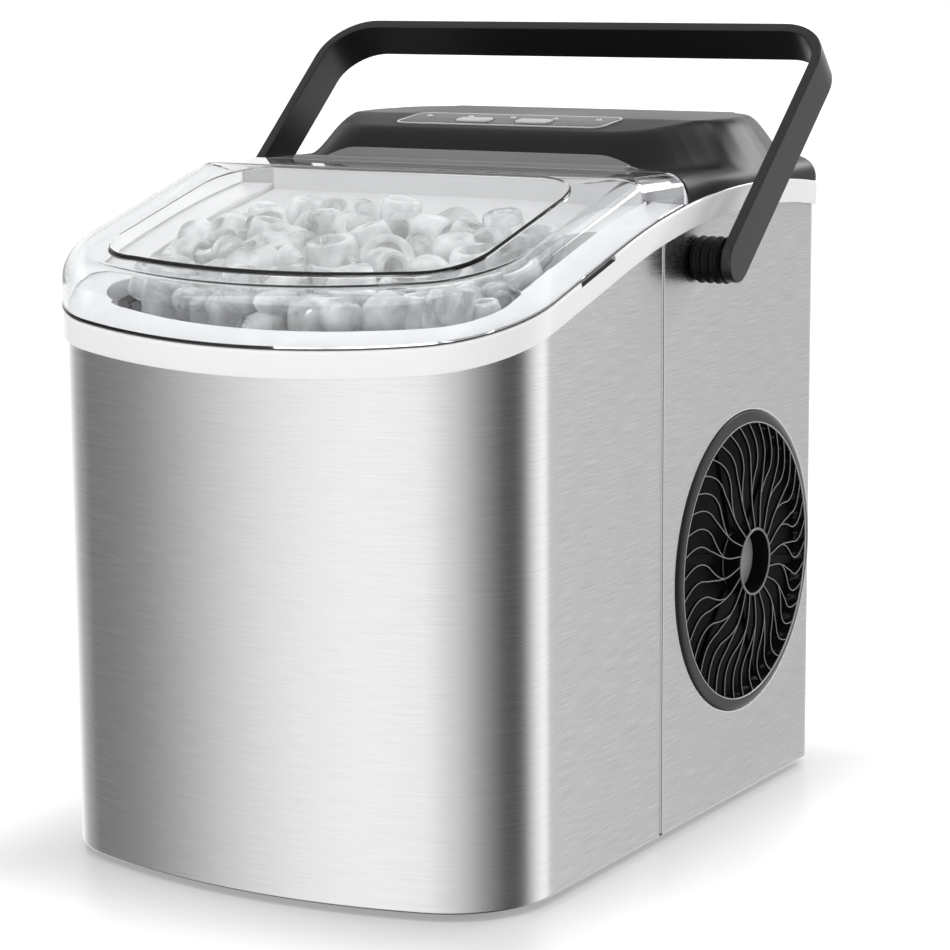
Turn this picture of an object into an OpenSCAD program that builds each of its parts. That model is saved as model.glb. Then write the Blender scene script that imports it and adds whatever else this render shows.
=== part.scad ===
// Countertop ice maker: a bowed steel case with a white wave-shaped frame, a clear hinged lid
// over the ice basket, a black rear cover with two buttons, and a carry handle.
// Frame: the origin is on the floor under the middle of the case, the front faces -Y,
// the right side faces +X and +Z is up. All sizes are in millimetres.

/* [Case] */
// Width over the steel side panels
case_w = 220; // [212:1:228]
// Depth over the steel panels
case_d = 298; // [292:1:304]
// Radius of the bowed front
front_r = 261; // [240:1:300]
// Radius of the two front corners
corner_r = 45; // [40:1:50]
// Thickness of the steel sheet
sheet = 0.8; // [0.6:0.1:1.2]
// Height of the rubber feet
foot_h = 3; // [2:0.5:4]
// Y of the seam between the front wrap and the side panels
seam_y = -1; // [-4:1:2]

/* [Wave frame] */
// Height of the steel at the middle of the front, above the floor
front_z = 209.3; // [206:0.1:212]
// Slope of the straight part of the wave, in degrees
wave_slope = 16.6; // [15:0.1:18]
// Y where the straight part turns into the arc
wave_y = -37; // [-42:1:-30]
// Radius of the arc of the wave
wave_r = 428; // [400:1:460]
// Height of the white band, square to the wave
band_h = 10.7; // [9:0.1:12]
// How far the band stands proud of the steel
band_out = 2; // [1.5:0.1:3]

/* [Lid] */
// Thickness of the lid's walls
lid_t = 2.2; // [1.8:0.1:2.6]
// Radius of the lid's rounded upper edge
lid_r = 10; // [8:0.5:12]
// Half width of the raised window
window_w = 88; // [84:1:90]
// Y of the window's front edge at its corners
window_front = -124.5; // [-127:0.5:-120]
// How far the window's front edge bows forward
window_bow = 6.5; // [5:0.5:8]
// Y of the window's rear edge
window_rear = -20.5; // [-23:0.5:-19]
// Slope of the lid's top, in degrees
lid_slope = 15.9; // [15:0.1:16.5]

/* [Handle] */
// Y of the handle's pivot
pivot_y = 30; // [26:1:34]
// Height of the handle's pivot
pivot_z = 242.6; // [238:0.1:244]
// Distance from the pivot to the outside of the grip bar
arm_len = 132; // [128:1:136]
// Width of the handle's flat bar
bar_w = 18; // [16:1:20]
// Thickness of the handle's flat bar
bar_t = 4.8; // [4:0.1:6]
// X of the outside of the handle's arms
arm_x = 129.3; // [127:0.1:131]
// Backward lean of the resting handle, in degrees
lean = 48.5; // [44:0.5:52]
// Outer radius of the handle's two bends
bend_r = 24; // [20:1:30]

/* [Vents] */
// Y of the centre of the side vents
vent_y = 76.7; // [74:0.1:80]
// Height of the centre of the side vents
vent_z = 107; // [100:1:112]
// Outer radius of the vent bezel
vent_r = 65.5; // [62:0.5:68]
// Number of spokes at the hub of a vent grille
spokes = 20; // [16:2:28]

/* [Hidden] */
$fn = 64;

// Case outline
half_w = case_w / 2;
half_d = case_d / 2;
rear_r = 8;
bow_y = front_r - half_d;
corner_x = half_w - corner_r;
corner_y = bow_y - sqrt(pow(front_r - corner_r, 2) - pow(corner_x, 2));
bow_angle = atan2(corner_x, bow_y - corner_y);
seam_gap = 0.5;
tall = 330;
// X where the side panels meet the rear panel
rear_seam_x = half_w - rear_r - 0.5;
screw_x = 90;
screw_z = [38, 140, 234];

// Wave: a straight slope that runs into a large arc
wave_z = front_z + tan(wave_slope) * (wave_y + half_d);
wave_c = [wave_y + wave_r * sin(wave_slope), wave_z - wave_r * cos(wave_slope)];
deck_t = 3;
deck_w = 17;

// Lid top, hinge and the cover behind it
lid_out = 1.5;
lid_rear = 16.3;
lid_top = 279;
lid_gap = 0.5;
lid_flat_y = -18;
lid_tan = tan(lid_slope);
hinge_y = 25.5;
hinge_r = 4.5;
hinge_z = lid_top - hinge_r;
tongue_w = 83;
hinge_pin_r = 2;
window_t = 2.6;
window_out = 0.8;
cover_front = 17.9;
wing_z = lid_top + 1.4;
cover_t = 2.5;
plateau_w = 84;
foot_w = 104;
face_foot = [31.4, wing_z];
face_mid = [35, 283];
face_top = [46, 293];
panel_slope = 6.9;
panel_y = 63.5;
panel_l = 23;
panel_w = 102;
plateau_y = face_top.x + 30;
plateau_z = face_top.y + 30 * tan(panel_slope);
panel_z = face_top.y + (panel_y - face_top.x) * tan(panel_slope);
button_x = 15;
button_y = -3.5;
button_w = 17;
button_l = 7.5;
light_y = 4.5;
light_pitch = 21.5;

// Handle parts
boss_end = arm_x - bar_t - 0.4;
pin_r = 5;

// Vent parts
grille_r = 60.5;
hub_r = 14.6;
dome = 5;

// Wet side
basket_in = 18;
basket_rear = -22;
basket_z = 118;
tub_in = 8;
tub_wall = 2;
tub_low_y = 14;
tub_high_y = 60;
tub_z = 62;
tub_step = 170;
tub_hole = 4.2;
tray_y = 28;
tray_z = 228;
tray_w = 66;
tray_t = 1.6;
axle_r = 3;
shovel_x = 71;
evap_x = 60;
evap_z = 252.6;
evap_rear = 66;
finger_rows = [14, 2];
finger_pitch = 24;
float_x = 70;
float_y = -2;
float_z = 67.4;

// Machine side
wall_y = 26;
comp_x = -38;
comp_y = 88;
comp_r = 44;
stub_top = 116;
fan_r = 44;
cond_x = 22;
cond_y = wall_y + 8;
cond_z = 44;
cond_fins = 15;
fin_pitch = 7;
tube_pitch = 20.4;
drier_x = 60;
drier_y = 134;
drier_z = 60;
valve_x = -12;
valve_z = 201;
drain_x = -88;
drain_z = 21;
drain_y = -10;
gland_x = 82;
gland_z = 26;
cord_r = 3.6;

// Points on an arc round c, from angle a to angle b
function arc(c, r, a, b, n) =
  [for (i = [0:n]) let (t = a + (b - a) * i / n) [c.x + r * cos(t), c.y + r * sin(t)]];

// Case outline grown by off, seen from above: bowed front, large front corners, small rear corners
function outline(off) =
  let (back_r = max(rear_r + off, 1),
    back = [half_w + off - back_r, half_d + off - back_r],
    right = concat(
      arc([0, bow_y], front_r + off, -90, -90 + bow_angle, 12),
      arc([corner_x, corner_y], corner_r + off, -90 + bow_angle + 5, 0, 12),
      arc(back, back_r, 0, 90, 4)))
  concat(right, [for (i = [len(right) - 1:-1:1]) [-right[i].x, right[i].y]]);

module plan(off = 0) {
  polygon(outline(off));
}

// Everything below the wave raised by off, seen from the side
module under_wave(off = 0) {
  front = -half_d - 20;
  rear = half_d + 20;
  start = wave_c + (wave_r + off) * [-sin(wave_slope), cos(wave_slope)];
  end_angle = acos((rear - wave_c.x) / (wave_r + off));
  polygon(concat([[front, -10], [front, start.y + tan(wave_slope) * (front - start.x)]],
    arc(wave_c, wave_r + off, 90 + wave_slope, end_angle, 28), [[rear, -10]]));
}

// A side profile drawn in Y and Z, carried across the width
module across(w = 400) {
  rotate([90, 0, 90]) linear_extrude(w, center = true) children();
}

module prism(off, z0, z1) {
  translate([0, 0, z0]) linear_extrude(z1 - z0) plan(off);
}

module ring(outer, inner, z0, z1) {
  translate([0, 0, z0]) linear_extrude(z1 - z0) difference() {
    plan(outer);
    plan(inner);
  }
}

// Keeps the children between two Y values
module between(y0, y1) {
  intersection() {
    children();
    translate([-200, y0, -10]) cube([400, y1 - y0, tall + 20]);
  }
}

// A cylinder along X from x0 to x1
module rod_x(r, x0, x1, y, z) {
  translate([x0, y, z]) rotate([0, 90, 0]) cylinder(h = x1 - x0, r = r);
}

// A cylinder along Y from y0 to y1
module rod_y(r, y0, y1, x, z) {
  translate([x, y0, z]) rotate([-90, 0, 0]) cylinder(h = y1 - y0, r = r);
}

module rounded_box(w, l, r) {
  for (s = [-1, 1])
    for (t = [-1, 1])
      translate([s * (w / 2 - r), t * (l / 2 - r)]) circle(r);
  square([w - 2 * r, l], center = true);
  square([w, l - 2 * r], center = true);
}

// A round pipe through a list of points
module pipe(points, r) {
  for (i = [0:len(points) - 2]) {
    a = points[i];
    b = points[i + 1];
    d = b - a;
    translate(a) rotate([0, acos(d.z / norm(d)), atan2(d.y, d.x)])
      cylinder(h = norm(d), r = r, $fn = 24);
    if (i > 0) translate(a) sphere(r + 0.3, $fn = 24);
  }
}

// --- Case ---

module base_tray() {
  rim = 18;
  color("dimgray") difference() {
    union() {
      prism(-sheet - 0.2, foot_h, foot_h + 2.5);
      ring(-sheet - 0.2, -sheet - 2.7, foot_h, foot_h + rim);
    }
    rod_y(11, half_d - 10, half_d + 1, drain_x, drain_z);
    rod_y(9, half_d - 10, half_d + 1, gland_x, gland_z);
  }
}

module rubber_feet() {
  color("black")
    for (x = [-80, 80])
      for (y = [-100, 125])
        translate([x, y, 0]) cylinder(h = foot_h, r = 10);
}

module panel_shell() {
  difference() {
    intersection() {
      prism(0, foot_h, tall);
      across() under_wave(-0.1);
    }
    prism(-sheet, foot_h - 1, tall + 1);
  }
}

module front_panel() {
  color("silver") between(-half_d - 5, seam_y - seam_gap / 2) panel_shell();
}

module side_panel(s) {
  color("silver") difference() {
    intersection() {
      between(seam_y + seam_gap / 2, half_d + 5) panel_shell();
      translate([s > 0 ? rear_seam_x : -rear_seam_x - 60, -half_d, 0]) cube([60, 2 * case_d, tall]);
    }
    rod_x(vent_r - 3, -half_w - 5, half_w + 5, vent_y, vent_z);
    rod_x(8.2, -half_w - 5, half_w + 5, pivot_y, pivot_z);
  }
}

module right_panel() {
  side_panel(1);
}

module left_panel() {
  side_panel(-1);
}

module rear_panel() {
  w = rear_seam_x - seam_gap;
  rows = 9;
  color("silver") difference() {
    intersection() {
      translate([-w, half_d - sheet, foot_h]) cube([2 * w, sheet, tall]);
      across() under_wave(-0.1);
    }
    for (i = [0:rows - 1])
      for (s = [-1, 1])
        translate([s * 48 - 33, half_d - 5, 70 + i * 14]) cube([66, 10, 4]);
    rod_y(11, half_d - 5, half_d + 5, drain_x, drain_z);
    rod_y(7, half_d - 5, half_d + 5, gland_x, gland_z);
  }
}

module rear_screws() {
  color("gray")
    for (x = [-screw_x, screw_x])
      for (z = screw_z)
        difference() {
          rod_y(3.4, half_d + 0.05, half_d + 1.5, x, z);
          translate([x - 2.2, half_d + 0.9, z - 0.4]) cube([4.4, 2, 0.8]);
          translate([x - 0.4, half_d + 0.9, z - 2.2]) cube([0.8, 2, 4.4]);
        }
}

// White frame: an outer band over the edge of the steel, and a deck round the ice opening
module top_frame() {
  notch_l = 27;
  notch_y = -59;
  notch_z = wave_z + tan(wave_slope) * (notch_y - wave_y) + band_h;
  color("white") difference() {
    intersection() {
      union() {
        ring(band_out, -deck_w, front_z - 20, tall);
        between(tub_high_y + 4, half_d + 5) prism(-1, front_z - 20, tall);
      }
      across() difference() {
        under_wave(band_h);
        under_wave(0);
      }
    }
    intersection() {
      difference() {
        prism(-0.8, front_z - 25, tall);
        intersection() {
          ring(-deck_w + 2, -deck_w - 1, front_z - 25, tall);
          between(-half_d, tub_high_y - tub_wall - 0.4) prism(5, front_z - 25, tall);
        }
      }
      across() under_wave(band_h - deck_t);
    }
    for (s = [-1, 1])
      translate([s * (half_w + band_out + 1), notch_y, notch_z])
        rotate([wave_slope, 0, 0]) cube([7, notch_l, 4.6], center = true);
  }
}

// --- Rear cover and controls ---

// Height of the cover's flanks across the width: a plateau that falls in an S to low shoulders
function flank(x, low, high) =
  let (u = min(max((x - plateau_w) / (foot_w - plateau_w), 0), 1))
  high + (low - high) * (1 - cos(180 * u)) / 2;

module cover_section(grow) {
  low = wing_z + grow;
  high = plateau_z + grow;
  steps = 12;
  xs = [for (i = [0:steps]) plateau_w - 4 + (foot_w + 8 - plateau_w) * i / steps];
  polygon(concat(
    [[-half_w - 5, 200], [half_w + 5, 200], [half_w + 5, low]],
    [for (i = [steps:-1:0]) [xs[i] + grow, flank(xs[i], low, high)]],
    [for (i = [0:steps]) [-xs[i] - grow, flank(xs[i], low, high)]],
    [[-half_w - 5, low]]));
}

module cover_side(grow) {
  rise = plateau_z + grow;
  polygon([[cover_front - grow, 200], [cover_front - grow, wing_z - 2 + grow],
    [cover_front + 0.6 - grow, wing_z - 0.6 + grow], [cover_front + 2 - grow, wing_z + grow],
    [face_foot.x - grow, wing_z + grow], [face_mid.x - grow, face_mid.y + grow * 0.6],
    [face_top.x - grow * 0.5, face_top.y + grow], [plateau_y, rise],
    [half_d - 8, rise], [half_d + lid_out - 2 + grow, rise - 6], [half_d + lid_out + grow, rise - 14],
    [half_d + lid_out + grow, 200]]);
}

// Solid of the cover; the top of its outline is rounded over like the lid's
module cover_solid(grow) {
  intersection() {
    hull()
      for (a = [0, 30, 60, 90]) {
        inward = lid_r * (1 - cos(a));
        rise = a == 90 ? 14 : lid_r * (sin(a) - 1);
        prism(lid_out + grow - inward, 200, wing_z + grow + rise);
      }
    translate([0, half_d + 50, 0]) rotate([90, 0, 0])
      linear_extrude(200) cover_section(grow);
    across() cover_side(grow);
  }
}

module top_cover() {
  slot_w = tongue_w + 0.6;
  color([0.12, 0.12, 0.13]) difference() {
    cover_solid(0);
    across() under_wave(band_h + 0.1);
    intersection() {
      cover_solid(-cover_t);
      translate([-150, face_foot.x + 5, 200]) cube([300, 200, 200]);
    }
    rod_x(hinge_r + 0.9, -slot_w, slot_w, hinge_y, hinge_z);
    translate([-slot_w, cover_front - 5, 250]) cube([2 * slot_w, hinge_y - cover_front + 5, 60]);
    translate([-slot_w, hinge_y - 1, hinge_z]) cube([2 * slot_w, hinge_r + 1.9, 60]);
    rod_x(hinge_pin_r + 0.05, -tongue_w - 5, tongue_w + 5, hinge_y, hinge_z);
    on_panel() translate([0, 0, -cover_t - 3]) linear_extrude(20)
      rounded_box(panel_w + 0.3, panel_l + 0.3, 4);
  }
}

// Places children on the sloping control panel, with Z square to it
module on_panel() {
  translate([0, panel_y, panel_z]) rotate([panel_slope, 0, 0]) children();
}

module button_outline(grow) {
  rounded_box(button_w + 2 * grow, button_l + 2 * grow, 2.2);
}

module control_panel() {
  plate = 2;
  color([0.2, 0.2, 0.21]) on_panel() difference() {
    translate([0, 0, -plate + 0.4]) linear_extrude(plate) rounded_box(panel_w, panel_l, 4);
    for (s = [-1, 1])
      translate([s * button_x, button_y, -5]) linear_extrude(10) button_outline(0.4);
    for (i = [-2:2])
      translate([i * light_pitch, light_y, -5]) cylinder(h = 10, r = 1.8);
  }
}

module button(s) {
  color([0.35, 0.35, 0.36]) on_panel() translate([s * button_x, button_y, 0]) {
    translate([0, 0, -1.7]) linear_extrude(2.9) button_outline(0);
    translate([0, 0, -3.2]) linear_extrude(1.5) button_outline(1);
  }
}

module start_button() {
  button(-1);
}

module select_button() {
  button(1);
}

module indicator_lights() {
  color("lightgray") on_panel()
    for (i = [-2:2])
      translate([i * light_pitch, light_y, -1.6]) cylinder(h = 2.1, r = 1.6);
}

module control_board() {
  z = lid_top - 2;
  color("darkgreen") {
    translate([-60, 46, z]) cube([120, 90, 1.6]);
    translate([-40, 96, z + 1.6]) cube([22, 16, 8]);
    translate([-10, 96, z + 1.6]) cube([22, 16, 8]);
    translate([38, 116, z + 1.6]) cylinder(h = 9, r = 6);
    translate([20, 124, z + 1.6]) cylinder(h = 9, r = 5);
    for (s = [-1, 1])
      translate([s * 50 - 3, 52, z + 1.6]) cube([6, 6, 5]);
  }
}

// --- Vents ---

module vent_at(s) {
  translate([s * half_w, vent_y, vent_z]) rotate([0, 90 * s, 0]) children();
}

module vent_bezel(s) {
  color([0.1, 0.1, 0.11]) vent_at(s) rotate_extrude($fn = 120)
    polygon([[grille_r + 0.3, -6], [vent_r - 3.4, -6], [vent_r - 3.4, 0.1], [vent_r, 0.1],
      [vent_r, 0.3], [vent_r - 1.5, 0.9], [grille_r + 1.2, 1.6], [grille_r + 0.3, 1.3]]);
}

// One wavy spoke from the hub to the rim, drawn flat
module spoke(turn) {
  steps = 7;
  w = 0.8;
  mid = [for (i = [0:steps])
    let (u = i / steps, r = hub_r - 1 + (grille_r - hub_r) * u)
    [r, turn + 5 * sin(430 * u) + 14 * u]];
  low = [for (p = mid) [p.x * cos(p.y) + w * sin(p.y), p.x * sin(p.y) - w * cos(p.y)]];
  high = [for (p = mid) [p.x * cos(p.y) - w * sin(p.y), p.x * sin(p.y) + w * cos(p.y)]];
  polygon(concat(low, [for (i = [steps:-1:0]) high[i]]));
}

module vent_grille(s) {
  color([0.25, 0.25, 0.26]) vent_at(s) {
    translate([0, 0, -1]) linear_extrude(2.4) difference() {
      union() {
        for (i = [0:spokes - 1])
          spoke(i * 360 / spokes);
        difference() {
          circle(grille_r, $fn = 120);
          circle(grille_r - 1.6, $fn = 120);
        }
        circle(hub_r + 1.2);
      }
      circle(hub_r - 2.4);
    }
  }
}

module vent_hub(s) {
  color([0.3, 0.3, 0.31]) vent_at(s) {
    translate([0, 0, 1.5]) difference() {
      cylinder(h = dome - 0.5, r1 = hub_r + 1, r2 = hub_r);
      translate([0, 0, dome - 2.5]) cylinder(h = 5, r = hub_r - 2);
    }
    translate([0, 0, -1]) cylinder(h = 3, r = hub_r - 2.7);
  }
}

module right_vent_bezel() {
  vent_bezel(1);
}

module right_vent_grille() {
  vent_grille(1);
}

module right_vent_hub() {
  vent_hub(1);
}

module left_vent_bezel() {
  vent_bezel(-1);
}

module left_vent_grille() {
  vent_grille(-1);
}

module left_vent_hub() {
  vent_hub(-1);
}

// --- Handle ---

// Places children on a pivot, with Z pointing outward from the case
module pivot_at(s) {
  translate([s * half_w, pivot_y, pivot_z]) rotate([0, 90 * s, 0]) children();
}

module pivot_boss(s) {
  length = boss_end - half_w;
  color([0.07, 0.07, 0.07]) pivot_at(s) difference() {
    rotate_extrude() polygon([[0, -4], [11, -4], [11, -1], [8, -1], [8, 0.1], [10.5, 0.1], [10.5, 2.4],
      [8.6, 3.2], [8.6, 4.4], [10, 5], [10, 6.6], [8.6, 7.4], [8.6, 8.4], [9.8, 9], [9.8, 10.4],
      [8.6, 11.2], [8.6, 12.2], [9.4, length - 1], [9.4, length], [0, length]]);
    translate([0, 0, -5]) cylinder(h = length + 10, r = pin_r + 0.06);
  }
}

module right_pivot_boss() {
  pivot_boss(1);
}

module left_pivot_boss() {
  pivot_boss(-1);
}

// Outline of the bent bar seen square to the arms, from the pivot up to the grip
module bail(inset) {
  r = bend_r - inset;
  x = arm_x - inset;
  top = arm_len - inset;
  polygon([[-x, 0], [x, 0], [x, top - r], [-x, top - r]]);
  translate([-x + r, 0]) square([2 * (x - r), top]);
  for (s = [-1, 1])
    translate([s * (x - r), top - r]) circle(r, $fn = 96);
}

module handle() {
  color([0.08, 0.08, 0.08]) translate([0, pivot_y, pivot_z]) rotate([-lean, 0, 0]) difference() {
    union() {
      translate([0, bar_w / 2, 0]) rotate([90, 0, 0]) linear_extrude(bar_w) difference() {
        bail(0);
        translate([0, -0.01]) bail(bar_t);
      }
      rod_x(bar_w / 2, arm_x - bar_t, arm_x, 0, 0);
      rod_x(bar_w / 2, -arm_x, -arm_x + bar_t, 0, 0);
    }
    rod_x(pin_r, arm_x - bar_t - 1, arm_x - 2, 0, 0);
    rod_x(pin_r, -arm_x + 2, -arm_x + bar_t + 1, 0, 0);
  }
}

module handle_pins() {
  color("gray")
    for (s = [-1, 1])
      pivot_at(s) difference() {
        translate([0, 0, -7]) cylinder(h = arm_x - 2 - half_w + 7, r = pin_r);
        translate([0, 0, -6]) difference() {
          cylinder(h = 1, r = pin_r + 1);
          cylinder(h = 1, r = pin_r - 1);
        }
      }
}

module handle_clips() {
  color("silver")
    for (s = [-1, 1])
      pivot_at(s) translate([0, 0, -5.95]) linear_extrude(0.9) difference() {
        circle(pin_r + 2.4);
        circle(pin_r - 0.95);
        translate([-1.6, 0]) square([3.2, 12]);
      }
}

// --- Lid ---

// The lid's top seen from the side, lowered by drop
module lid_side(drop) {
  front = -half_d - 10;
  polygon([[front, 150], [front, lid_top - drop + lid_tan * (front - lid_flat_y)],
    [lid_flat_y, lid_top - drop], [60, lid_top - drop], [60, 150]]);
}

// Full solid of the lid, with its upper edge rounded in steps
module lid_solid(grow) {
  hull()
    for (a = [0, 30, 60, 90])
      between(-half_d - 10, lid_rear) intersection() {
        prism(lid_out + grow - lid_r * (1 - cos(a)), 150, tall);
        across() lid_side(lid_r * (1 - sin(a)) - grow);
      }
}

module lid_tongue() {
  rod_x(hinge_r, -tongue_w, tongue_w, hinge_y, hinge_z);
  translate([-tongue_w, lid_rear - 2, lid_top - lid_t]) cube([2 * tongue_w, hinge_y - lid_rear + 2, lid_t]);
}

// Places children on the lid's sloping top, with Z square to it
module on_lid() {
  translate([0, lid_flat_y, lid_top]) rotate([lid_slope, 0, 0]) children();
}

module window_outline(grow) {
  l = (window_rear - window_front) / cos(lid_slope);
  r = 24;
  back = (window_rear - lid_flat_y) / cos(lid_slope);
  flat_w = window_w - r;
  bow_r = (pow(flat_w, 2) + pow(window_bow, 2)) / (2 * window_bow);
  front = back - l - window_bow;
  translate([0, back - l / 2]) rounded_box(2 * (window_w + grow), l + 2 * grow, r);
  intersection() {
    translate([0, front + bow_r]) circle(bow_r + grow, $fn = 360);
    translate([-flat_w, front - grow]) square([2 * flat_w, l]);
  }
}

module lid() {
  color([0.86, 0.88, 0.9, 0.5]) difference() {
    union() {
      difference() {
        lid_solid(0);
        lid_solid(-lid_t);
      }
      lid_tongue();
    }
    across() under_wave(band_h + lid_gap);
    on_lid() translate([0, 0, -8]) linear_extrude(20) window_outline(0.15);
    rod_x(hinge_pin_r, -tongue_w - 1, -tongue_w + 9, hinge_y, hinge_z);
    rod_x(hinge_pin_r, tongue_w - 9, tongue_w + 1, hinge_y, hinge_z);
  }
}

module lid_window() {
  color([0.88, 0.9, 0.92, 0.45])
    on_lid() translate([0, 0, window_out - window_t]) linear_extrude(window_t) window_outline(0);
}

module lid_hinge_pins() {
  color("silver") {
    rod_x(hinge_pin_r, tongue_w - 8, tongue_w + 4, hinge_y, hinge_z);
    rod_x(hinge_pin_r, -tongue_w - 4, -tongue_w + 8, hinge_y, hinge_z);
  }
}

// --- Ice chamber ---

module basket_shape(inset, z0) {
  between(-half_d, basket_rear - inset) prism(-basket_in - inset, z0, tall);
}

module ice_basket() {
  wall = 1.8;
  color([0.9, 0.92, 0.94, 0.6]) difference() {
    intersection() {
      basket_shape(0, basket_z);
      across() under_wave(-3);
    }
    basket_shape(wall, basket_z + wall);
    for (x = [-70:20:70])
      translate([x - 2, -120, basket_z - 1]) cube([4, 90, 5]);
    for (x = [-60:30:60])
      translate([x - 2, basket_rear - 5, basket_z + 20]) cube([4, 10, 40]);
    translate([-80, basket_rear - 6, 198]) cube([160, 12, 80]);
  }
}

module tub_shape(inset) {
  between(-half_d, tub_low_y - inset) prism(-tub_in - inset, tub_z + inset, tall);
  between(-half_d, tub_high_y - inset) prism(-tub_in - inset, tub_step + inset, tall);
}

module water_tub() {
  color("whitesmoke") difference() {
    intersection() {
      tub_shape(0);
      across() under_wave(band_h - deck_t - 0.2);
    }
    tub_shape(tub_wall);
    translate([drain_x, drain_y, tub_z - 5]) cylinder(h = 12, r = tub_hole);
    translate([-60, 20, tub_step - 5]) cylinder(h = 12, r = tub_hole);
    translate([float_x, float_y, tub_z - 5]) cylinder(h = 12, r = tub_hole);
    for (s = [-1, 1])
      rod_y(4.5, tub_high_y - 5, tub_high_y + 5, s * evap_x, evap_z);
  }
  // Ledges the basket rests on
  color("whitesmoke")
    for (s = [-1, 1])
      translate([s * 94 - 7, -80, 110]) cube([14, 45, 7.95]);
}

module foam_insulation() {
  color("lightyellow") between(-half_d, 8) ring(-sheet - 0.4, -tub_in + 0.4, tub_z, 196);
}

// Cold plate with nine hollow-ended fingers hanging into the water tray
module evaporator() {
  plate_z = evap_z - 6.6;
  color([0.75, 0.7, 0.62]) {
    translate([-62, finger_rows[1] - 7, plate_z]) cube([124, 26, 3]);
    pipe([[-evap_x, evap_rear, evap_z], [-evap_x, 8, evap_z], [evap_x, 8, evap_z],
      [evap_x, evap_rear, evap_z]], 4);
    for (s = [-1, 1])
      translate([s * 56 - 2, 4, plate_z + 2]) cube([4, 8, 3]);
    for (row = [0, 1])
      for (i = [0:4 - row])
        translate([(i - 2 + row / 2) * finger_pitch, finger_rows[row], 0]) {
          translate([0, 0, 210]) cylinder(h = plate_z - 209, r = 3.5, $fn = 32);
          translate([0, 0, 210]) sphere(3.5, $fn = 32);
        }
  }
}

// White plate over the evaporator: it closes the gap between the frame's sides behind the basket
module ice_guard() {
  w = half_w - deck_w - 1.5;
  front = basket_rear + 2;
  rear = cover_front - 1.5;
  wall = rear - 1.6;
  color("white") across(2 * w) polygon([[front, 242], [front + 1.6, 242], [front + 1.6, 254.4],
    [rear, 262.4], [rear, 275], [wall, 275], [wall, 263.6], [front, 256]]);
}

module water_tray() {
  color([0.85, 0.87, 0.9]) {
    difference() {
      union() {
        translate([-tray_w, -12, 200]) cube([2 * tray_w, 34, 24]);
        for (s = [-1, 1])
          hull() {
            rod_x(6, s * (tray_w - 1) - 1, s * (tray_w - 1) + 1, tray_y, tray_z);
            translate([s * (tray_w - 1) - 1, 10, 205]) cube([2, 12, 12]);
          }
      }
      translate([-tray_w + 2 * tray_t, -12 + tray_t, 200 + tray_t])
        cube([2 * tray_w - 4 * tray_t, 34 - 2 * tray_t, 40]);
    }
    rod_x(axle_r, -tray_w - 22, -tray_w, tray_y, tray_z);
    rod_x(axle_r, tray_w, tray_w + 14, tray_y, tray_z);
  }
}

module tray_brackets() {
  color("whitesmoke") difference() {
    for (s = [-1, 1])
      translate([s * 77 - 2, tray_y - 8, tub_step + tub_wall + 0.1]) cube([4, 16, 64]);
    rod_x(axle_r + 0.08, -100, 100, tray_y, tray_z);
  }
}

module tray_motor() {
  color("lightgray") difference() {
    union() {
      rod_x(13, -98, -81, tray_y, tray_z);
      translate([-98, tray_y - 4, tray_z - 20]) cube([3, 8, 40]);
    }
    rod_x(axle_r + 0.4, -90, -80, tray_y, tray_z);
  }
}

// Comb on two arms that turns with the tray and pushes the finished ice forward
module ice_shovel() {
  color([0.8, 0.82, 0.85]) {
    difference() {
      for (s = [-1, 1])
        translate([s * shovel_x - 1.5, 0, 0]) {
          rod_x(7, 0, 3, tray_y, tray_z);
          translate([0, -18, tray_z - 5]) cube([3, tray_y + 18, 8]);
        }
      rod_x(axle_r + 0.4, -90, 90, tray_y, tray_z);
    }
    translate([-shovel_x - 1.5, -18, 204]) difference() {
      cube([2 * shovel_x + 3, 2, 28]);
      for (i = [0:8])
        translate([12 + i * 14.5, -1, 3]) cube([5, 4, 14]);
    }
  }
}

module ice_sensor() {
  color([0.15, 0.15, 0.16])
    for (s = [-1, 1])
      translate([s > 0 ? 92 : -99.8, -16, 236]) cube([7.8, 10, 8]);
}

module level_sensor() {
  color("whitesmoke") translate([float_x, float_y, 0]) {
    translate([0, 0, tub_z - 3]) cylinder(h = 55, r = 4);
    translate([0, 0, tub_z + tub_wall + 0.05]) cylinder(h = 3, r = 9);
    translate([0, 0, tub_z + 51]) cylinder(h = 2, r = 7);
  }
}

module level_float() {
  color("white") translate([float_x, float_y, float_z]) difference() {
    cylinder(h = 18, r = 13);
    translate([0, 0, -1]) cylinder(h = 20, r = 4.4);
  }
}

// --- Water circuit ---

module water_pump() {
  color([0.15, 0.15, 0.16]) {
    translate([-60, -60, foot_h + 2.6]) cylinder(h = 12, r = 26);
    translate([-60, -60, foot_h + 14.6]) cylinder(h = 28, r = 21);
    rod_y(5, -62, -30, -60, 34);
    translate([-60, -60, foot_h + 42]) cylinder(h = 8, r = 7);
  }
}

module pump_hose() {
  color("lightgray") pipe([[-60, -29.9, 34], [-60, 20, 34], [-60, 20, tub_step + 6]], 4);
}

module drain_hose() {
  color("lightgray")
    pipe([[drain_x, drain_y, tub_z + 2], [drain_x, drain_y, drain_z], [drain_x, half_d - 14, drain_z]], 4);
}

module drain_cap() {
  color([0.1, 0.1, 0.11]) difference() {
    union() {
      rod_y(10.6, half_d - 1, half_d + 1.6, drain_x, drain_z);
      rod_y(6, half_d - 10, half_d - 0.9, drain_x, drain_z);
    }
    translate([drain_x - 12, half_d + 0.4, drain_z + 2]) cube([24, 3, 20]);
    translate([drain_x - 12, half_d + 0.4, drain_z - 22]) cube([24, 3, 20]);
  }
}

// --- Refrigeration ---

module partition_wall() {
  color("lightgray") difference() {
    translate([-103, wall_y, foot_h + 2.6]) cube([206, 1.2, tub_step - foot_h - 4]);
    rod_y(6, wall_y - 5, wall_y + 5, drain_x, drain_z);
  }
}

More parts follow.
